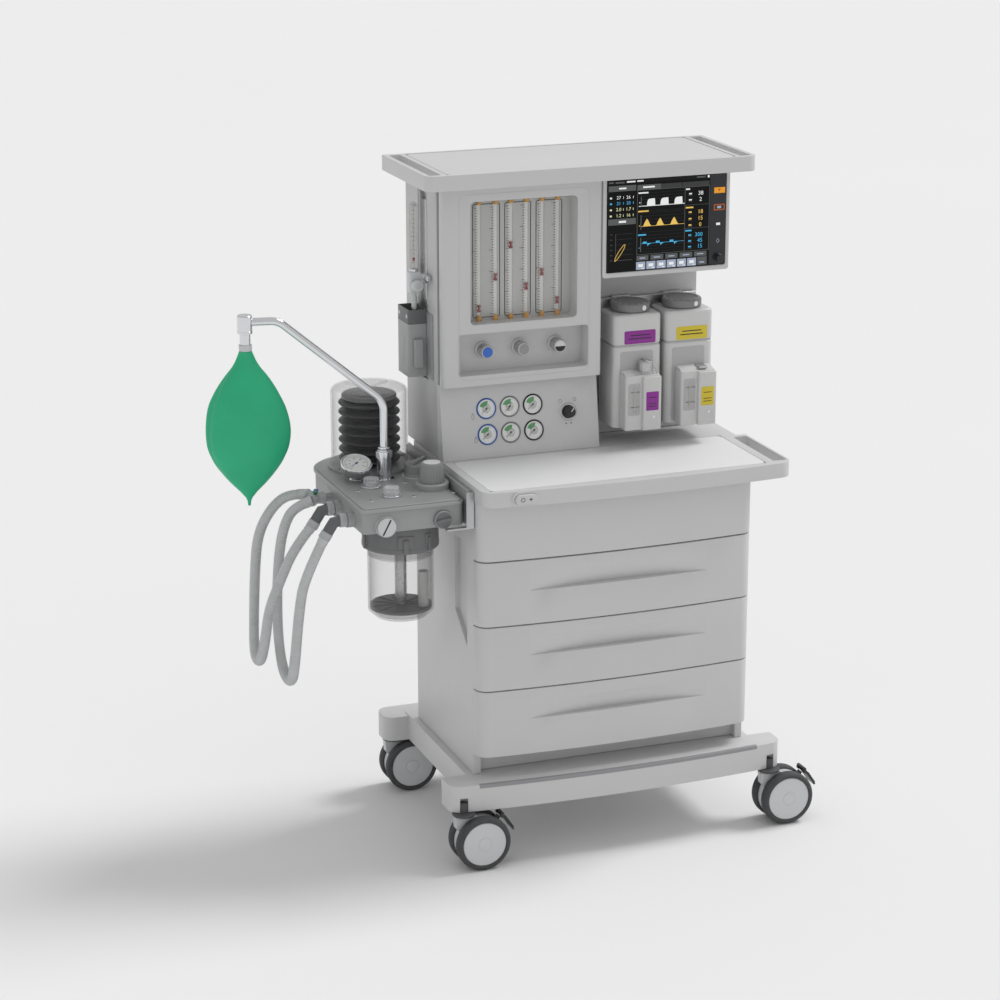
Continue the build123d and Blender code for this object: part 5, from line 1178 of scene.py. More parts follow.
for side, x, colour in (("left", 124, label_purple), ("right", 241, label_yellow)):
    shell = Build()
    around = rounded_rectangle(x - 54, x + 54, BODY_FRONT, 290, 13, 7)
    shell.plate(around, 834, 1006.4, coat=0, edge=3)
    # The parting line is a thin plate in the darker grey, painted shade in the groove between body and lid.
    shell.plate(shrunk(around, 1.2), 1005, 1009, coat=1)
    shell.plate(around, 1007.4, 1074, coat=0, edge=7, steps=5)
    shell.turned(softened([(AXIS, 1073.5), (41, 1073.5), (41, 1075.0), (AXIS, 1075.0)], 0.4),
                 standing(x, 245), 1, sides=56)
    on_front = forwards(BODY_FRONT)
    # The front panel is nearly flush; its darker grey is painted shade that makes it read as recessed.
    shell.plate(rounded_rectangle(x - 40, x + 34, 840, 997, 5), -0.5, 0.45, on_front, 1, edge=0.3)
    shell.plate(rounded_rectangle(x - 31, x + 39, 1012, 1040, 3), -0.5, 0.5, on_front, 2, edge=0.2)
    for z, half in ((1030, 22), (1023, 26)):
        shell.plate(rounded_rectangle(x + 4 - half, x + 4 + half, z - 1.1, z + 1.1, 1, 2), 0.3, 0.62,
                    on_front, 4)
    block_left = x - 41 if side == "left" else x - 33
    block_right = block_left + 78
    seat = rounded_rectangle(block_left, block_right, FILLER_FRONT, BODY_FRONT + 1, 5)
    proud = rounded_rectangle(block_left + 37, block_right, FILLER_FRONT - 8, FILLER_FRONT + 12, 4)
    shell.plate(seat, 836, 952, coat=0, edge=2)
    shell.plate(proud, 836, 950, coat=0, edge=2.4)
    wedge_place = Matrix(((0, 0, 1, 0), (1, 0, 0, 0), (0, 1, 0, 0), (0, 0, 0, 1)))
    shell.plate([(FILLER_FRONT + 3, 950), (BODY_FRONT, 950), (BODY_FRONT, 957.6),
                 (FILLER_FRONT + 15, 956)], block_left + 2, block_right - 2, wedge_place, 0, edge=1)
    on_filler = forwards(FILLER_FRONT)
    on_proud = forwards(FILLER_FRONT - 8)
    shell.plate(rounded_rectangle(block_left + 6, block_left + 32, 868, 936, 4), -0.6, 0.7, on_filler,
                1, edge=0.4)
    shell.plate(rounded_rectangle(block_left + 17, block_left + 25, 874, 930, 3.5), 0.5, 1.6, on_filler,
                3, edge=0.6)
    for z in (886, 918):
        shell.plate([(block_left + 11, z - 0.3), (block_left + 31, z - 0.3), (block_left + 31, z + 0.3),
                     (block_left + 11, z + 0.3)], 0.4, 1.75, on_filler, 4)
    shell.plate(rounded_rectangle(block_left + 43, block_left + 71, 878, 918, 2), -0.4, 0.45, on_proud,
                2, edge=0.2)
    for z in (906, 893, 887):
        shell.plate([(block_left + 48, z - 0.7), (block_left + 66, z - 0.7), (block_left + 66, z + 0.7),
                     (block_left + 48, z + 0.7)], 0.2, 0.6, on_proud, 4)
    shell.turned(softened([(AXIS, -1), (3, -1), (3, 1.2), (AXIS, 1.8)], 0.4),
                 facing(block_left + 60, FILLER_FRONT - 8, 864), 5, sides=20)
    if side == "left":
        cap = standing(134, 184)
        shell.turned(softened([(AXIS, 950), (17, 950), (17, 957.6), (AXIS, 957.6)], 0.8), cap, 1,
                     sides=36)
        shell.turned(softened([(AXIS, 957), (15.2, 957), (15.2, 976), (13.4, 979.4), (AXIS, 979.8)], 1),
                     cap, 6, sides=96, flutes=16, depth=0.7)
        shell.plate(rounded_rectangle(129.4, 134.6, 172, 196, 2), 979, 981.5, coat=6, edge=0.6)
        wire_line = [(132, 184, 979.6), (141, 180, 978.8), (150, 175, 968), (156, 172, 950),
                     (158, 166, 930), (156, 160, 918), (149, 157.6, 914)]
    else:
        shell.plate(rounded_rectangle(block_left + 42, block_left + 62, 168, 196, 2), 955, 959.5,
                    coat=6, edge=0.8)
        wire_line = [(267, 157.6, 866), (270, 154, 856), (277, 150, 842), (284, 153, 838),
                     (289, 165, 842), (290, 176, 851), (286, 184, 858)]
    curve_points = [Vector(wire_line[0])]
    for before, here, after in zip(wire_line, wire_line[1:], wire_line[2:]):
        before, here, after = Vector(before), Vector(here), Vector(after)
        for step in range(1, 5):
            share = step / 4
            start, end = (before + here) / 2, (here + after) / 2
            curve_points.append(start * (1 - share) ** 2 + here * 2 * share * (1 - share) + end * share ** 2)
    if side == "right":
        curve_points = [point + Vector((0, 8, 0)) for point in curve_points]
    shell.swept(curve_points, 0.8, 6, sides=8)
    shell.piece("vaporizer_" + side + "_shell", "machine", [enamel, enamel_painted_shade, colour, sight,
                                                            print_black, dial_white, flute_grey],
                "vaporizer_white", "vaporizer_" + side + "_body")
    dial = Build()
    top = standing(x, 245)
    dial.turned(softened([(AXIS, 1075.6), (39, 1075.6), (41.6, 1078), (41.6, 1091), (39, 1094),
                          (33, 1094.4), (31, 1092.6), (AXIS, 1092.2)], 1.2), top, 0, sides=240,
                flutes=48, depth=0.8)
    dial.turned([(AXIS, 1062), (6, 1062), (6, 1076), (AXIS, 1076)], top, 0, sides=16)
    for mark_step in range(12):
        around_dial = top @ Matrix.Rotation(radians(-60 - 22 * mark_step), 4, "Z")
        dial.plate([(34.5, -0.4), (38, -0.4), (38, 0.4), (34.5, 0.4)], 1093.8, 1094.7, around_dial, 2)
    button = top @ Matrix.Rotation(radians(-68), 4, "Z") @ Matrix.Translation((41.6, 0,
            1085)) @ Matrix.Rotation(radians(90), 4, "Y")
    dial.turned(softened([(AXIS, -3), (5.4, -3), (5.4, 0.8), (AXIS, 1.2)], 0.5), button, 1, sides=24)
    name = "vaporizer_" + side + "_dial"
    dial.piece(name + "_fluted", name, [dial_grey, dial_white, dial_white], "vaporizer_dial", name)

# ---------------------------------------------------------------- auxiliary flowmeter
# A clear acrylic tube with a domed top stands on a plated block beside the column. Its knob faces
# the user, a knurled outlet nozzle runs beside it, and a white hose barb hangs below.
pearl = moulded("pearl_white", (0.60, 0.61, 0.62), 0.28, 700, 0.00003, coat=0.3)
chrome = metal("bright_chrome", (0.74, 0.75, 0.77), 0.12, (300, 300, 300), 0.000015)
acrylic = clear("acrylic_tube", (0.52, 0.47, 0.45), body=0.16, rim=0.7)
AUX_X, AUX_Y = -328, 310
aux = Build()
aux_axis = standing(AUX_X, AUX_Y)
aux.plate(rounded_rectangle(AUX_X - 13, AUX_X + 13, AUX_Y - 13, AUX_Y + 13, 5), 1133, 1177, coat=0,
          edge=2)
aux.plate(rounded_rectangle(AUX_X, -291.6, AUX_Y - 8, AUX_Y + 8, 2), 1151.4, 1167.4, coat=1, edge=0.8)
aux.plate(rounded_rectangle(-296.4, -291.6, 300.6, 353.4, 1.5), 1103, 1319.6, coat=2, edge=0.8)
aux.turned(softened([(AXIS, 1176.6), (9.6, 1176.6), (9.6, 1182), (AXIS, 1182)], 0.8), aux_axis, 1,
           sides=40)
aux.turned(softened([(AXIS, 1311), (6, 1311), (6, 1314.5), (AXIS, 1315)], 0.6), aux_axis, 0, sides=32)
aux.turned([(AXIS, 1182), (1.1, 1182), (1.1, 1311), (AXIS, 1311)], aux_axis, 0, sides=12)
aux.turned(softened([(AXIS, 1196), (2.6, 1199), (3.2, 1204), (AXIS, 1206)], 0.4), aux_axis, 3, sides=20)
nozzle = facing(-310.5, 302, 1167)
aux.turned(softened([(AXIS, 0), (6, 0), (6, 14), (4.6, 15), (4.6, 17), (5.6, 18), (5.6, 34),
                     (3.4, 35.9), (AXIS, 35.9)], 0.5), nozzle, 1, sides=96, flutes=24, depth=0.35)
aux.plate(rounded_rectangle(AUX_X, -306, AUX_Y - 12, AUX_Y - 4, 2), 1161, 1173, coat=1, edge=0.8)
barb_profile = [(AXIS, 1134), (5.4, 1134), (5.4, 1124), (6.5, 1122), (5, 1117.5), (6.3, 1116),
                (5, 1111.5), (6.2, 1110), (4.8, 1105.5), (5.8, 1104), (4.2, 1097.4), (AXIS, 1097.2)]
aux.turned(barb_profile, aux_axis, 0, sides=32)
aux.piece("aux_flowmeter_body", "machine", [pearl, chrome, flute_grey, float_red], "body_white",
          "aux_flowmeter")
aux_scale = Build()
for step in range(13):
    z = 1196 + 9 * step
    ring = [aux_axis @ Vector((7.9 * cos(radians(turn)), 7.9 * sin(radians(turn)),
                               z)) for turn in range(-128 - (14 if step % 3 == 0 else 0), -80, 8)]
    aux_scale.swept(ring, 0.35, sides=6)
aux_scale.piece("aux_scale", "machine", print_black, "knob_black")
tube = Build()
tube.turned([(6.5, 1178), (8.4, 1178), (8.5, 1180), (8.5, 1311), (7.7, 1315.6), (5.4, 1318.6),
             (2.4, 1319.7), (AXIS, 1319.9), (AXIS, 1316.5), (6.5, 1312)], aux_axis, sides=40)
tube.piece("aux_tube", "machine", acrylic, "window")
aux_knob = Build()
front = facing(AUX_X, 296.5, 1150.6)
aux_knob.turned(softened([(AXIS, 0.1), (9, 0.1), (9, 3), (12, 4), (12, 13.5), (10.6, 15.4),
                          (AXIS, 15.9)], 0.8), front, 0, sides=120, flutes=20, depth=0.5)
aux_knob.turned([(AXIS, -8), (3, -8), (3, 1), (AXIS, 1)], front, 1, sides=16)
aux_knob.turned([(AXIS, 15.6), (7, 15.6), (6.8, 16), (AXIS, 16.05)], front, 1, sides=32)
aux_knob.piece("aux_flow_knob_fluted", "aux_flow_knob", [pearl, steel], "knob_white", "aux_flow_knob")

# ---------------------------------------------------------------- accessory holder
# A deep moulded box screwed to the column's side through a backing plate. Its mouth carries a dark
# band with two screws, and its outer face a raised keyhole that takes a hanging handset.
holder_pale = moulded("holder_pale", (0.36, 0.365, 0.37), 0.42, 900)
holder_dark = moulded("holder_dark", (0.13, 0.132, 0.136), 0.42, 800)
HOLDER_LEFT = -345
box = Build()
wall = [rounded_rectangle(HOLDER_LEFT, -303.6, 297, 367, 5), rounded_rectangle(HOLDER_LEFT + 3, -306.6,
        300, 364, 3)]
for low, high, coat in ((958, 1070, 0), (1070, 1098, 1)):
    outer, inner = [[Vector((x, y, 0)) for x, y in outline] for outline in wall]
    rise = [Vector((0, 0, low)), Vector((0, 0, high))]
    floor_rise = Vector((0, 0, max(low, 961)))
    box.rings([[p + rise[0] for p in outer], [p + rise[1] - Vector((0, 0, 0.8)) for p in outer],
               [p + rise[1] for p in outer], [p + rise[1] for p in inner],
               [p + floor_rise for p in inner]], coat)
box.plate(rounded_rectangle(HOLDER_LEFT - 0.4, -303.6, 296.6, 367.4, 5), 1068.6, 1070.8, coat=1,
          edge=0.4)
box.plate(rounded_rectangle(-305.5, -303.5, 263, 375, 0.9), 956, 1092, coat=0, edge=0.4)
for z in (972, 1076):
    box_screw = facing(-304.2, 263.2, z)
    box.turned(softened([(AXIS, -0.4), (2.2, -0.4), (2.2, 0.1), (AXIS, 0.2)], 0.2), box_screw, 2,
               sides=16)
on_left = Matrix(((0, 0, -1, HOLDER_LEFT), (-1, 0, 0, 0), (0, 1, 0, 0), (0, 0, 0, 1)))
for y in (309, 355):
    box.turned(softened([(AXIS, -1), (4.6, -1), (4.6, 0.05), (3.4, 0.3), (AXIS, 0.3)], 0.3),
               on_left @ standing(-y, 1084), 2, sides=28)
keyhole = [(-y, z) for y, z in [(332 + 11 * cos(radians(turn)),
                                 1030 + 11 * sin(radians(turn))) for turn in range(-60, 241,
        15)] + [(326.5, 985), (337.5, 985)]]
box.plate(keyhole[::-1], -1, 0.35, on_left, 0, edge=0.2)
box.plate(rounded_rectangle(-335, -315, 287.4, 298, 3), 978, 1038, coat=0, edge=2)
box.piece("holder_box", "machine", [holder_pale, holder_dark, steel], "shell_grey", "accessory_holder")

# ---------------------------------------------------------------- breathing block
# The gas block is anodised metal under a screwed lid plate. Two coin screws lock its front, and
# it hangs on a folded plated bracket. A dark collar with lugs under it takes the absorber jar.
anodised = metal("anodised_grey", (0.34, 0.345, 0.345), 0.42, (900, 900, 900), 0.00003, metallic=0.15)
lid_grey = metal("lid_grey", (0.36, 0.365, 0.365), 0.40, (900, 900, 900), 0.00003, metallic=0.15)
plated = metal("plated_sheet", (0.52, 0.525, 0.535), 0.3, (300, 2500, 300), 0.00003, metallic=0.8)
collar_grey = moulded("collar_grey", (0.16, 0.162, 0.166), 0.42, 800)
SOCKET = (-421, 235)
CANISTER = (-423, 130)
DOME = (-417, 343)
RELIEF = (-351, 140)
SWITCH = (-350, 236)
VALVES = ((-465, 186), (-447, 110))
BLOCK_TOP = 767
eased("block_bracket", "machine", plated, width=0.9, segments=2)
block = eased("breathing_block", "machine", anodised, width=1.4, segments=2, crease=30)
COLLAR_TOP = 713.2
block.data.materials.append(collar_grey)
for face in block.data.polygons:
    if (FROM_METRES @ face.center).z < COLLAR_TOP:
        face.material_index = len(block.data.materials) - 1
LID_LEFT, LID_RIGHT, LID_FRONT, LID_BACK, LID_ROUND = -533, -318.2, 37, 441, 92


def lid_outline(inset):
    """The lid's plan: small front corners and a broad curve round the bellows."""
    left, right, front, back = LID_LEFT + inset, LID_RIGHT - inset, LID_FRONT + inset, LID_BACK - inset
    points = []
    for x, y, radius, start in ((left, front, 15 - inset, 180), (right, front, 12 - inset, 270),
                                (right, back, 2, 0), (left, back, LID_ROUND - inset, 90)):
        across = radius if x == left else -radius
        along = radius if y == front else -radius
        for step in range(13):
            turn = radians(start + 7.5 * step)
            points.append((x + across + radius * cos(turn), y + along + radius * sin(turn)))
    return points


lid = Build()
lid.plate(lid_outline(0), 757.2, 764, coat=0, edge=1.2)
lid.plate(lid_outline(5), 763, 767, coat=0, edge=1.4)
socket_place = standing(*SOCKET)
lid.turned([(AXIS, 766.5), (22, 766.5), (22, 768.2), (20.4, 769.2), (15.4, 769.2), (15.4, 812),
            (17.4, 813), (17.4, 826), (16.2, 827.2), (14.6, 828), (14.6, 830), (9.4, 830), (9.4, 773),
            (AXIS, 773)], socket_place, 1, sides=64)
lid.piece("block_lid", "machine", [lid_grey, chrome], "cover_metal", "breathing_block_cover")
collar = Build()
collar.turned(softened([(73, 658.6), (77.4, 658.6), (78.4, 660), (78.4, 668), (77.7, 669.5),
                        (77.7, 712.6), (73, 712.6)], 0.6), standing(*CANISTER), 0, sides=96)
for turn, wide in ((-62, 9), (-100, 16), (-172, 9), (60, 9)):
    lug = standing(*CANISTER) @ Matrix.Rotation(radians(turn), 4, "Z")
    collar.plate(rounded_rectangle(75, 79.2, -wide, wide, 1, 2), 671, 697, lug, 0, edge=0.6)
    collar.plate(rounded_rectangle(75, 82.4, -wide / 3, wide / 3, 1, 2), 661, 690, lug, 0, edge=0.8)
collar.piece("canister_collar", "machine", collar_grey, "block_metal")
hardware = Build()
for x, y in ((-498, 167), (-496, 91), (-407, 92), (-391, 192), (-322, 90), (-380, 300), (-335, 400),
             (-335, 300)):
    hardware.turned(softened([(AXIS, -0.6), (5.2, -0.6), (5.2, 0.1), (4.2, 1.4), (AXIS, 1.4)], 0.4),
                    Matrix.Translation((x, y, BLOCK_TOP)), 0, sides=28)
    hardware.plate([(2.3 * cos(step * pi / 3), 2.3 * sin(step * pi / 3)) for step in range(6)], 1.0,
                   1.55, Matrix.Translation((x, y, BLOCK_TOP)), 3)
for x, z, radius, coat, turn, high in ((-483, 727, 20.5, 1, 62, 9.72), (-364, 730, 18.5, 5, 8, 15)):
    front = facing(x, 40, z)
    hardware.turned(softened([(AXIS, -1), (radius + 1, -1), (radius + 1, 1.2), (radius, 2.4),
                              (radius, 8.2), (radius - 2, 9.4), (AXIS, 9.6)], 0.8), front, coat,
                    sides=120, flutes=24, depth=0.5)
    half = 1.6 if turn == 62 else 3.0
    hardware.plate([(-radius + 3, -half), (radius - 3, -half), (radius - 3, half), (-radius + 3, half)],
                   9.3, high, front @ Matrix.Rotation(radians(turn), 4, "Z"), 3 if turn == 62 else 5,
                   edge=0.1)
hardware.turned(softened([(26.5, 766.5), (34.6, 766.5), (34.6, 778), (33, 780.3), (26.5, 780.3)], 0.8),
                standing(*RELIEF), 2, sides=64)
hardware.turned(softened([(28.4, 766.6), (31, 766.6), (31, 768.6), (28.4, 768.6)], 0.4),
                standing(*SWITCH), 1, sides=64)
for x, y in VALVES:
    hardware.turned(softened([(16.2, 767), (20.2, 767), (20.2, 770.4), (16.2, 771.4)], 0.7),
                    standing(x, y), 4, sides=48)
hardware.turned(softened([(80.4, 767), (88, 767), (88, 771.8), (86, 773.6), (80.4, 773.6)], 0.8),
                standing(*DOME), 2, sides=128)
for turn in (20, 110, 200, 290):
    lug = standing(*DOME) @ Matrix.Rotation(radians(turn), 4, "Z")
    hardware.plate(rounded_rectangle(79.6, 87.6, -8, 8, 2), 773, 776.2, lug, 2, edge=0.6)
hardware.piece("block_hardware", "machine", [steel, pearl, lid_grey, print_black, chrome, collar_grey],
               "cover_metal")
hanger = Build()
hanger.plate(rounded_rectangle(-315, -306, 30, 410, 3), 764, 785.3, coat=0, edge=0.5)
release = facing(-311, 22.4, 741)
hanger.turned(softened([(AXIS, -3.2), (5.6, -3.2), (5.6, 2.4), (4.6, 3.2), (AXIS, 3.3)], 0.5), release,
              1, sides=28)
hanger.piece("bracket_pad", "machine", [anodised, flute_grey], "block_metal")

# ---------------------------------------------------------------- valves, gauge, relief knob, switch
# Clear caps show a thin disc on each check valve. The airway gauge is a tilted silver case with a
# white dial. The relief knob is grey and fluted, and the change-over switch a drum with a bar.
eased("check_valve_domes", "machine", clear("valve_cap", (0.78, 0.80, 0.82), body=0.16, rim=0.8),
      width=0.6, segments=2)
inside = Build()
for x, y in VALVES:
    place = standing(x, y)
    inside.turned([(AXIS, 767.2), (11, 767.2), (11, 774), (9, 774.6), (AXIS, 774.6)], place, 0,
                  sides=32)
    inside.turned([(AXIS, 775), (10.4, 775), (10.4, 776), (AXIS, 776)], place, 0, sides=32)
    for step in range(3):
        post_place = place @ Matrix.Rotation(radians(120 * step), 4, "Z") @ standing(8.6, 0)
        inside.turned([(AXIS, 774), (1, 774), (1, 782), (AXIS, 782)], post_place, 0, sides=10)
inside.piece("valve_discs", "machine", pearl, "valve_clear")
gauge = Build()
gauge_place = Matrix.Translation((-480, 243, BLOCK_TOP + 17)) @ Matrix.Rotation(radians(20), 4, "X")
gauge.turned(softened([(AXIS, 0.4), (25, 0.4), (31.6, 6), (31.8, 19), (AXIS, 19)], 0.7), gauge_place, 4,
             sides=72)
gauge.turned(softened([(28.4, 18.8), (32.2, 18.8), (32.4, 23.6), (30.4, 25), (28.6, 24.2), (28.4, 22)],
                      0.5), gauge_place, 0, sides=72)
gauge.turned([(AXIS, 18.5), (28.6, 18.5), (28.6, 22.3), (AXIS, 22.3)], gauge_place, 1, sides=56)
for step in range(31):
    tick = gauge_place @ Matrix.Rotation(radians(225 - 9 * step), 4, "Z")
    inner = 20 if step % 5 == 0 else 22
    gauge.plate([(inner, -0.3), (24.4, -0.3), (24.4, 0.3), (inner, 0.3)], 22.2, 22.6, tick, 2)
for step in range(7):
    turn = radians(225 - 45 * step)
    lettering(gauge, str(step * 10), 4.6, gauge_place @ Matrix.Translation((15.8 * cos(turn),
            15.8 * sin(turn), 22.4)), 2, 0.12)
needle = gauge_place @ Matrix.Rotation(radians(214), 4, "Z")
gauge.plate([(-6, -1), (20, -0.2), (20, 0.2), (-6, 1)], 22.9, 23.3, needle, 3)
gauge.turned([(AXIS, 22.2), (2.4, 22.2), (2.2, 23.7), (AXIS, 23.8)], gauge_place, 2, sides=20)
gauge.turned(softened([(AXIS, 767.2), (14, 767.2), (14, 770), (12, 771.5), (11.6, 786), (AXIS, 786)],
                      0.6), standing(-478, 245), 0, sides=40)
gauge.piece("airway_gauge_case", "machine", [chrome, dial_white, print_black, bezel_coats[0],
                                             collar_grey], "airway_gauge", "airway_gauge")
cover_lens = Build()
cover_lens.turned([(AXIS, 23.9), (28.5, 23.9), (28.5, 24.3), (AXIS, 24.4)], gauge_place, sides=48)
cover_lens.piece("airway_gauge_lens", "machine", lens, "window")
knob_mid = moulded("knob_mid_grey", (0.27, 0.272, 0.275), 0.38, 700, coat=0.1)
relief = Build()
relief_place = standing(*RELIEF)
relief.turned(softened([(AXIS, 780.6), (26, 780.6), (25.8, 786), (23.4, 817), (21.6, 819.8),
                        (AXIS, 820.2)], 1.2), relief_place, 0, sides=240, flutes=24, depth=1.0)
relief.turned([(AXIS, 770), (6, 770), (6, 781), (AXIS, 781)], relief_place, 1, sides=20)
relief.turned([(16.4, 819.9), (17.4, 819.9), (17.4, 820.45), (16.4, 820.45)], relief_place, 2, sides=48)
relief.plate([(8, -0.9), (16, -0.9), (16, 0.9), (8, 0.9)], 820, 820.5,
             relief_place @ Matrix.Rotation(radians(70), 4, "Z"), 2)
relief.piece("apl_knob_fluted", "apl_knob", [knob_mid, steel, dial_white], "knob_grey", "apl_knob")
switch = Build()
switch_place = standing(*SWITCH, 767.4)
switch.turned(softened([(AXIS, 0.2), (28, 0.2), (28, 4), (26.4, 6), (26.4, 23.4), (25, 25.9),
                        (AXIS, 26)], 0.8), switch_place, 0, sides=96)
switch.turned([(AXIS, -5), (6, -5), (6, 1), (AXIS, 1)], switch_place, 2, sides=20)
grip = switch_place @ Matrix.Rotation(radians(40), 4, "Z")
switch.plate([(-24, -5), (28, -5), (34.6, -2), (34.6, 2), (28, 5), (-24, 5)], 22, 32.6, grip, 0,
             edge=1.4)
switch.plate([(20, -0.8), (32, -0.8), (32, 0.8), (20, 0.8)], 32.4, 32.9, grip, 1)
switch.piece("bag_vent_drum", "bag_vent_switch", [knob_mid, dial_white, steel], "knob_grey",
             "bag_vent_switch")

# ---------------------------------------------------------------- bellows
# A clear bell with a moulded crown covers the bellows. The bellows is thin black rubber in seven
# pleats under a rigid disc.
dome_place = standing(*DOME)
dome = Build()
dome_profile = [(80, 767.6), (80, 772), (79.6, 773), (79.6, 924)]
dome_profile += [(69.6 + 10 * cos(radians(turn)), 925.6 + 10 * sin(radians(turn))) for turn in range(0,
        91, 10)]
dome_profile += [(30, 935.8), (AXIS, 935.9), (AXIS, 933), (30, 933), (69.6, 932.8)]
dome_profile += [(69.6 + 7 * cos(radians(turn)), 925.6 + 7 * sin(radians(turn))) for turn in range(80,
        -1, -10)]
dome_profile += [(76.8, 922), (76.8, 767.6)]
dome.turned(dome_profile, dome_place, sides=96)
for turn in (35, 125):
    rib = dome_place @ Matrix.Rotation(radians(turn), 4, "Z")
    dome.plate(rounded_rectangle(-62, 62, -1.6, 1.6, 1, 2), 931, 935.98, rib, 0)
dome.piece("bellows_bell", "machine", clear("dome_clear", (0.42, 0.41, 0.42), body=0.02, rim=0.62,
                                            roughness=0.04), "dome_clear", "bellows_dome")
rubber = Finish("bellows_rubber", Coat_Weight=0.1)
bloom = rubber.wire.noise(60, 5)
rubber.put("Base Color", rubber.wire.tones(bloom, (0.012, 0.0125, 0.013), (0.032, 0.033, 0.035)))
rubber.put("Roughness", bloom * 0.25 + 0.42)
rubber.bump(rubber.wire.noise(900, 2), 0.00008)
FOLDS_LOW, FOLDS_HIGH, PLEATS = 775, 913, 7
folds = Build()
fold_profile = [(AXIS, FOLDS_LOW), (47, FOLDS_LOW)]
for step in range(PLEATS * 12 + 1):
    share = step / 12
    wave = 0.5 - 0.5 * cos(2 * pi * share)
    fold_profile.append((50.6 + 13.2 * wave ** 0.8,
                         FOLDS_LOW + (FOLDS_HIGH - FOLDS_LOW) * share / PLEATS))
fold_profile += [(47, FOLDS_HIGH), (AXIS, FOLDS_HIGH)]
folds.turned(fold_profile, dome_place, sides=96)
bellows = placed("bellows_pleats", folds.mesh("bellows_pleats", [rubber.material]))
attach(bellows, "machine")
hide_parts("bellows_folds")
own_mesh(bellows)
disc = Build()
disc.turned(softened([(AXIS, 913.6), (57, 913.6), (57, 919), (54, 921.4), (AXIS, 921.5)], 0.8),
            dome_place, 0, sides=72)
disc.turned(softened([(30, 921), (34, 921), (34, 922.4), (30, 922.4)], 0.4), dome_place, 0, sides=56)
disc.piece("bellows_top_disc", "bellows", holder_dark, "bellows_dark", "bellows_disc")

# ---------------------------------------------------------------- canister
# The absorber jar is clear moulded plastic with a grid plate near its foot, a riser tube and a
# short sight tube; it locks up into the dark collar under the block.
jar_clear = clear("jar_clear", (0.34, 0.325, 0.33), body=0.06, rim=0.8, roughness=0.05)
jar_place = standing(*CANISTER)
jar = Build()
jar.turned([(52, 510), (53, 510), (60, 516.6), (66.2, 523), (67, 525), (67, 688), (66.2, 689),
            (63.4, 689), (63.4, 526), (52, 514), (AXIS, 514), (AXIS, 510)][::-1], jar_place, sides=96)
jar.turned([(63.4, 640), (67.0, 640), (67.0, 643.5), (63.4, 643.5)], jar_place, sides=96)
jar.piece("canister_clear_jar", "canister_jar", jar_clear, "canister_clear", "canister_jar")
jar_inside = Build()
jar_inside.turned(softened([(AXIS, 526), (63.2, 526), (63.2, 532), (AXIS, 532)], 0.6), jar_place, 0,
                  sides=72)
jar_inside.turned(softened([(10, 532), (12, 532), (12, 686), (10, 686)], 0.4), jar_place, 1, sides=40)
jar_inside.turned(softened([(AXIS, 514.4), (14, 514.4), (16, 520), (12, 526.2), (AXIS, 526.2)], 0.6),
                  jar_place, 1, sides=32)
for step in range(12):
    vane = jar_place @ Matrix.Rotation(radians(30 * step), 4, "Z")
    jar_inside.plate([(14, -1), (58, -1), (58, 1), (14, 1)], 531.6, 533.4, vane, 0)
jar_inside.turned(softened([(AXIS, 532), (10.6, 532), (10.6, 606), (AXIS, 608)], 0.8),
                  standing(CANISTER[0] + 38, CANISTER[1] - 30), 2, sides=32)
jar_inside.piece("canister_inside", "canister_jar", [holder_dark, flute_grey, plate_pale],
                 "canister_clear")

# ---------------------------------------------------------------- bag arm
# A bent chromed tube turns in the socket and carries the bag's head: a machined cap, a neck and
# a white ring that the bag's mouth is pushed on to.
ARM_TURN = radians(180 - 9.3)
arm_place = standing(*SOCKET) @ Matrix.Rotation(ARM_TURN, 4, "Z")
REACH, ARM_TOP, KNEE, BEND, FLAT = 273, 1106, 930, 42, 62
arm = Build()


def rounded_line(corners, radius, steps=10):
    """A line through corners, each turned on an arc."""
    corners = [Vector(corner) for corner in corners]
    line = [corners[0]]
    for before, here, after in zip(corners, corners[1:], corners[2:]):
        back, ahead = (before - here).normalized(), (after - here).normalized()
        half = back.angle(ahead) / 2
        run = radius / tan(half)
        centre = here + (back + ahead).normalized() * radius / sin(half)
        first, last = here + back * run - centre, here + ahead * run - centre
        whole = first.angle(last)
        for step in range(steps + 1):
            share = step / steps
            line.append(centre + (first * sin((1 - share) * whole) + last * sin(share * whole)) / sin(whole))
    line.append(corners[-1])
    return line


pipe_line = rounded_line([(0, 0, 780), (0, 0, KNEE), (REACH - FLAT, 0, ARM_TOP), (REACH, 0, ARM_TOP)],
                         BEND)
arm.swept([arm_place @ point for point in pipe_line], 8.3, 0, sides=32)
arm.turned(softened([(8.2, 830.5), (12.2, 830.5), (12.2, 835.3), (8.2, 835.3)], 0.6), arm_place, 0,
           sides=40)
head_place = arm_place @ standing(REACH + 4, 0)
arm.turned(softened([(AXIS, 1083.4), (15.4, 1083.4), (15.4, 1119), (13.4, 1121.2), (AXIS, 1121.2)],
                    0.8), head_place, 0, sides=56)
arm.turned(softened([(13, 1086), (15.9, 1086), (15.9, 1089), (13, 1089)], 0.5), head_place, 0, sides=56)
arm.turned(softened([(AXIS, 1060), (11, 1060), (11, 1084), (AXIS, 1084)], 0.5), head_place, 0, sides=40)
arm.turned(softened([(AXIS, 1048.4), (13.4, 1048.4), (13.4, 1061), (AXIS, 1061)], 1.2), head_place, 1,
           sides=48)
arm.piece("bag_arm_tube", "bag_arm", [chrome, pearl], "arm_chrome", "bag_arm")

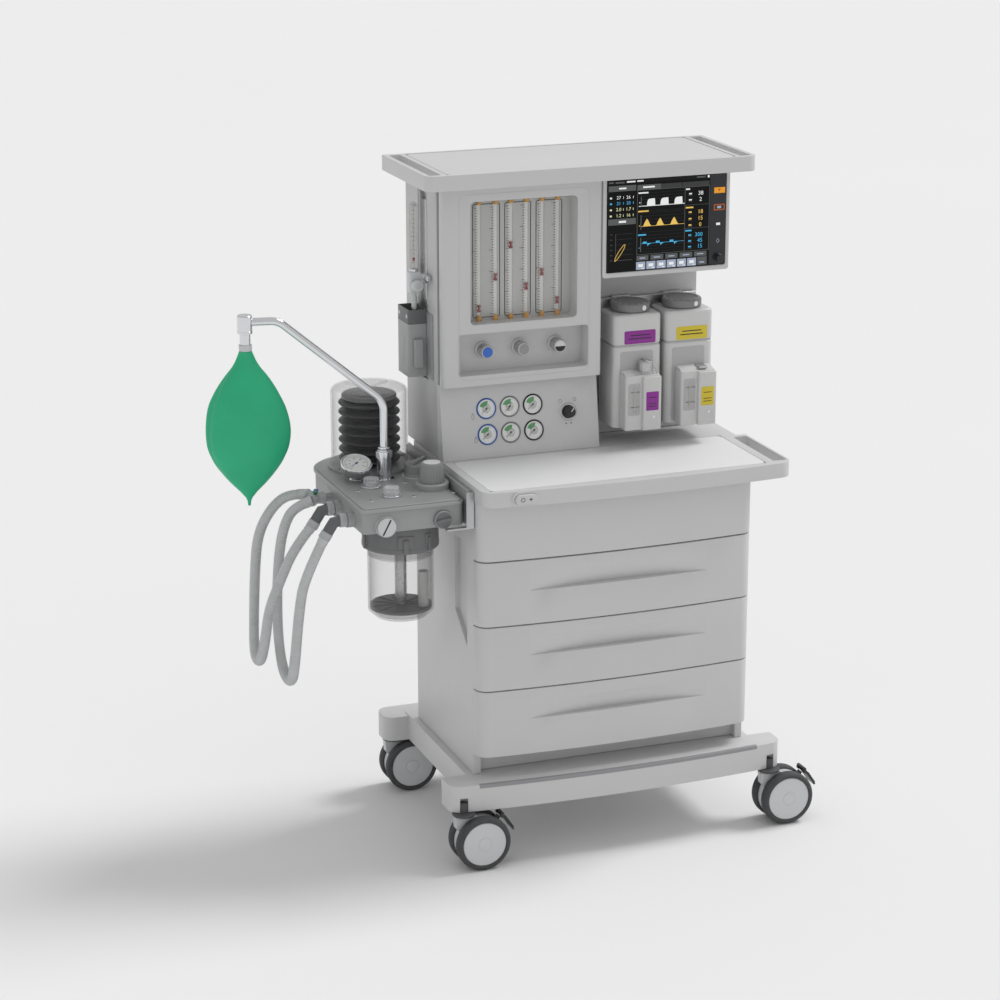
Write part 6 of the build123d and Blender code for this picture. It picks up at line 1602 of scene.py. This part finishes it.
# ---------------------------------------------------------------- breathing bag
# A dipped latex bag hangs open from the ring, its rest shape a flattened lens. The seams of its
# former run down both edges, the sides fold inwards there, and the tail is a short solid tab.
latex = Finish("latex_green", Coat_Weight=0.08, Coat_Roughness=0.45, Subsurface_Weight=0.12,
               Subsurface_Scale=0.004)
cloud = latex.wire.noise(18, 5)
latex.put("Base Color", latex.wire.tones(cloud, (0.010, 0.40, 0.19), (0.016, 0.50, 0.245)))
latex.put("Roughness", cloud * 0.18 + 0.44)
latex.bump(latex.wire.noise(700, 3), 0.00010)
BAG_TOP, BAG_LONG, BAG_HALF_WIDTH, BAG_HALF_THICK = 1047.8, 312, 86, 47
WIDTHS = ((0, 0.145), (0.09, 0.28), (0.17, 0.52), (0.25, 0.71), (0.35, 0.89), (0.43, 0.965), (0.51, 1),
          (0.58, 0.995), (0.656, 0.95), (0.757, 0.775), (0.858, 0.49), (0.93, 0.23), (0.965, 0.10),
          (1, 0.045))


def bag_share(share):
    """The bag's half width at a share of its length, eased between given sections."""
    for (before, low), (after, high) in zip(WIDTHS, WIDTHS[1:]):
        if share <= after:
            local = (share - before) / (after - before)
            return low + (high - low) * local
    return WIDTHS[-1][1]


bag = Build()
bag_rings = []
BAG_STEPS, BAG_SIDES = 160, 96
for row in range(BAG_STEPS + 1):
    share = row / BAG_STEPS
    near = [bag_share(min(max(share + shift, 0), 1)) for shift in (-0.03, -0.015, 0, 0.015, 0.03)]
    wide = sum(near) / 5 * BAG_HALF_WIDTH if 0.04 < share < 0.97 else bag_share(share) * BAG_HALF_WIDTH
    thick = max(wide * (BAG_HALF_THICK / BAG_HALF_WIDTH), min(wide, 11.8 - 8.6 * min(share / 0.12, 1)))
    z = BAG_TOP - share * BAG_LONG
    slack = sin(pi * min(max((share - 0.05) / 0.9, 0), 1))
    ring = []
    for step in range(BAG_SIDES):
        turn = 2 * pi * step / BAG_SIDES
        side_in = -0.02 * slack + 0.16 * slack * max(0.0, abs(cos(turn - 0.16))) ** 40
        swell = 1 + 0.012 * slack * sin(3 * turn + 9 * share) + 0.008 * slack * sin(5 * turn - 14 * share)
        x = wide * cos(turn) * (1 - side_in) * swell
        y = thick * sin(turn) * swell
        y += 1.6 * slack * sin(7 * share + 0.6) * cos(turn)
        ring.append(head_place @ Vector((x, y, z)))
    bag_rings.append(ring)
for row in range(1, 7):
    share = row / 6
    z = BAG_TOP - BAG_LONG - 10.5 * share
    radius = 3.7 - 0.9 * share if row < 6 else 1.4
    bag_rings.append([head_place @ Vector((x, 0.8 * y, z)) for x, y in circle(0, 0, radius, BAG_SIDES)])
bag.rings(bag_rings[::-1], 0)
bag_piece = bag.piece("breathing_bag_latex", "bag_arm", latex.material, "bag_green", "breathing_bag",
                      crease=60)

# ---------------------------------------------------------------- floor and light
# A pale seamless floor, one broad soft light high on the right, and an even surround.
pale = Finish("pale_floor", Roughness=0.9)
pale.put("Base Color", pale.wire.tones(pale.wire.noise(0.7, 2), (0.80, 0.80, 0.80), (0.82, 0.82, 0.82)))
floor_mesh = bpy.data.meshes.new("floor")
FLOOR_HALF = 40
corners = [(-FLOOR_HALF, -FLOOR_HALF, 0), (FLOOR_HALF, -FLOOR_HALF, 0), (FLOOR_HALF, FLOOR_HALF, 0),
           (-FLOOR_HALF, FLOOR_HALF, 0)]
floor_mesh.from_pydata(corners, [], [(0, 1, 2, 3)])
floor_mesh.materials.append(pale.material)
floor = placed("floor", floor_mesh)
world = bpy.data.worlds.new("surround")
bpy.context.scene.world = world
world.use_nodes = True
world.node_tree.nodes["Background"].inputs["Color"].default_value = (1, 1, 1, 1)
world.node_tree.nodes["Background"].inputs["Strength"].default_value = 0.62
bpy.context.scene.view_settings.view_transform = "Standard"
sun = bpy.data.lights.new("soft_key", "SUN")
sun.energy = 1.70
sun.angle = radians(20)
sun_holder = placed("soft_key", sun)
sun_holder.rotation_euler = Vector((-0.616, -0.06, -0.79)).to_track_quat("-Z", "Y").to_euler()
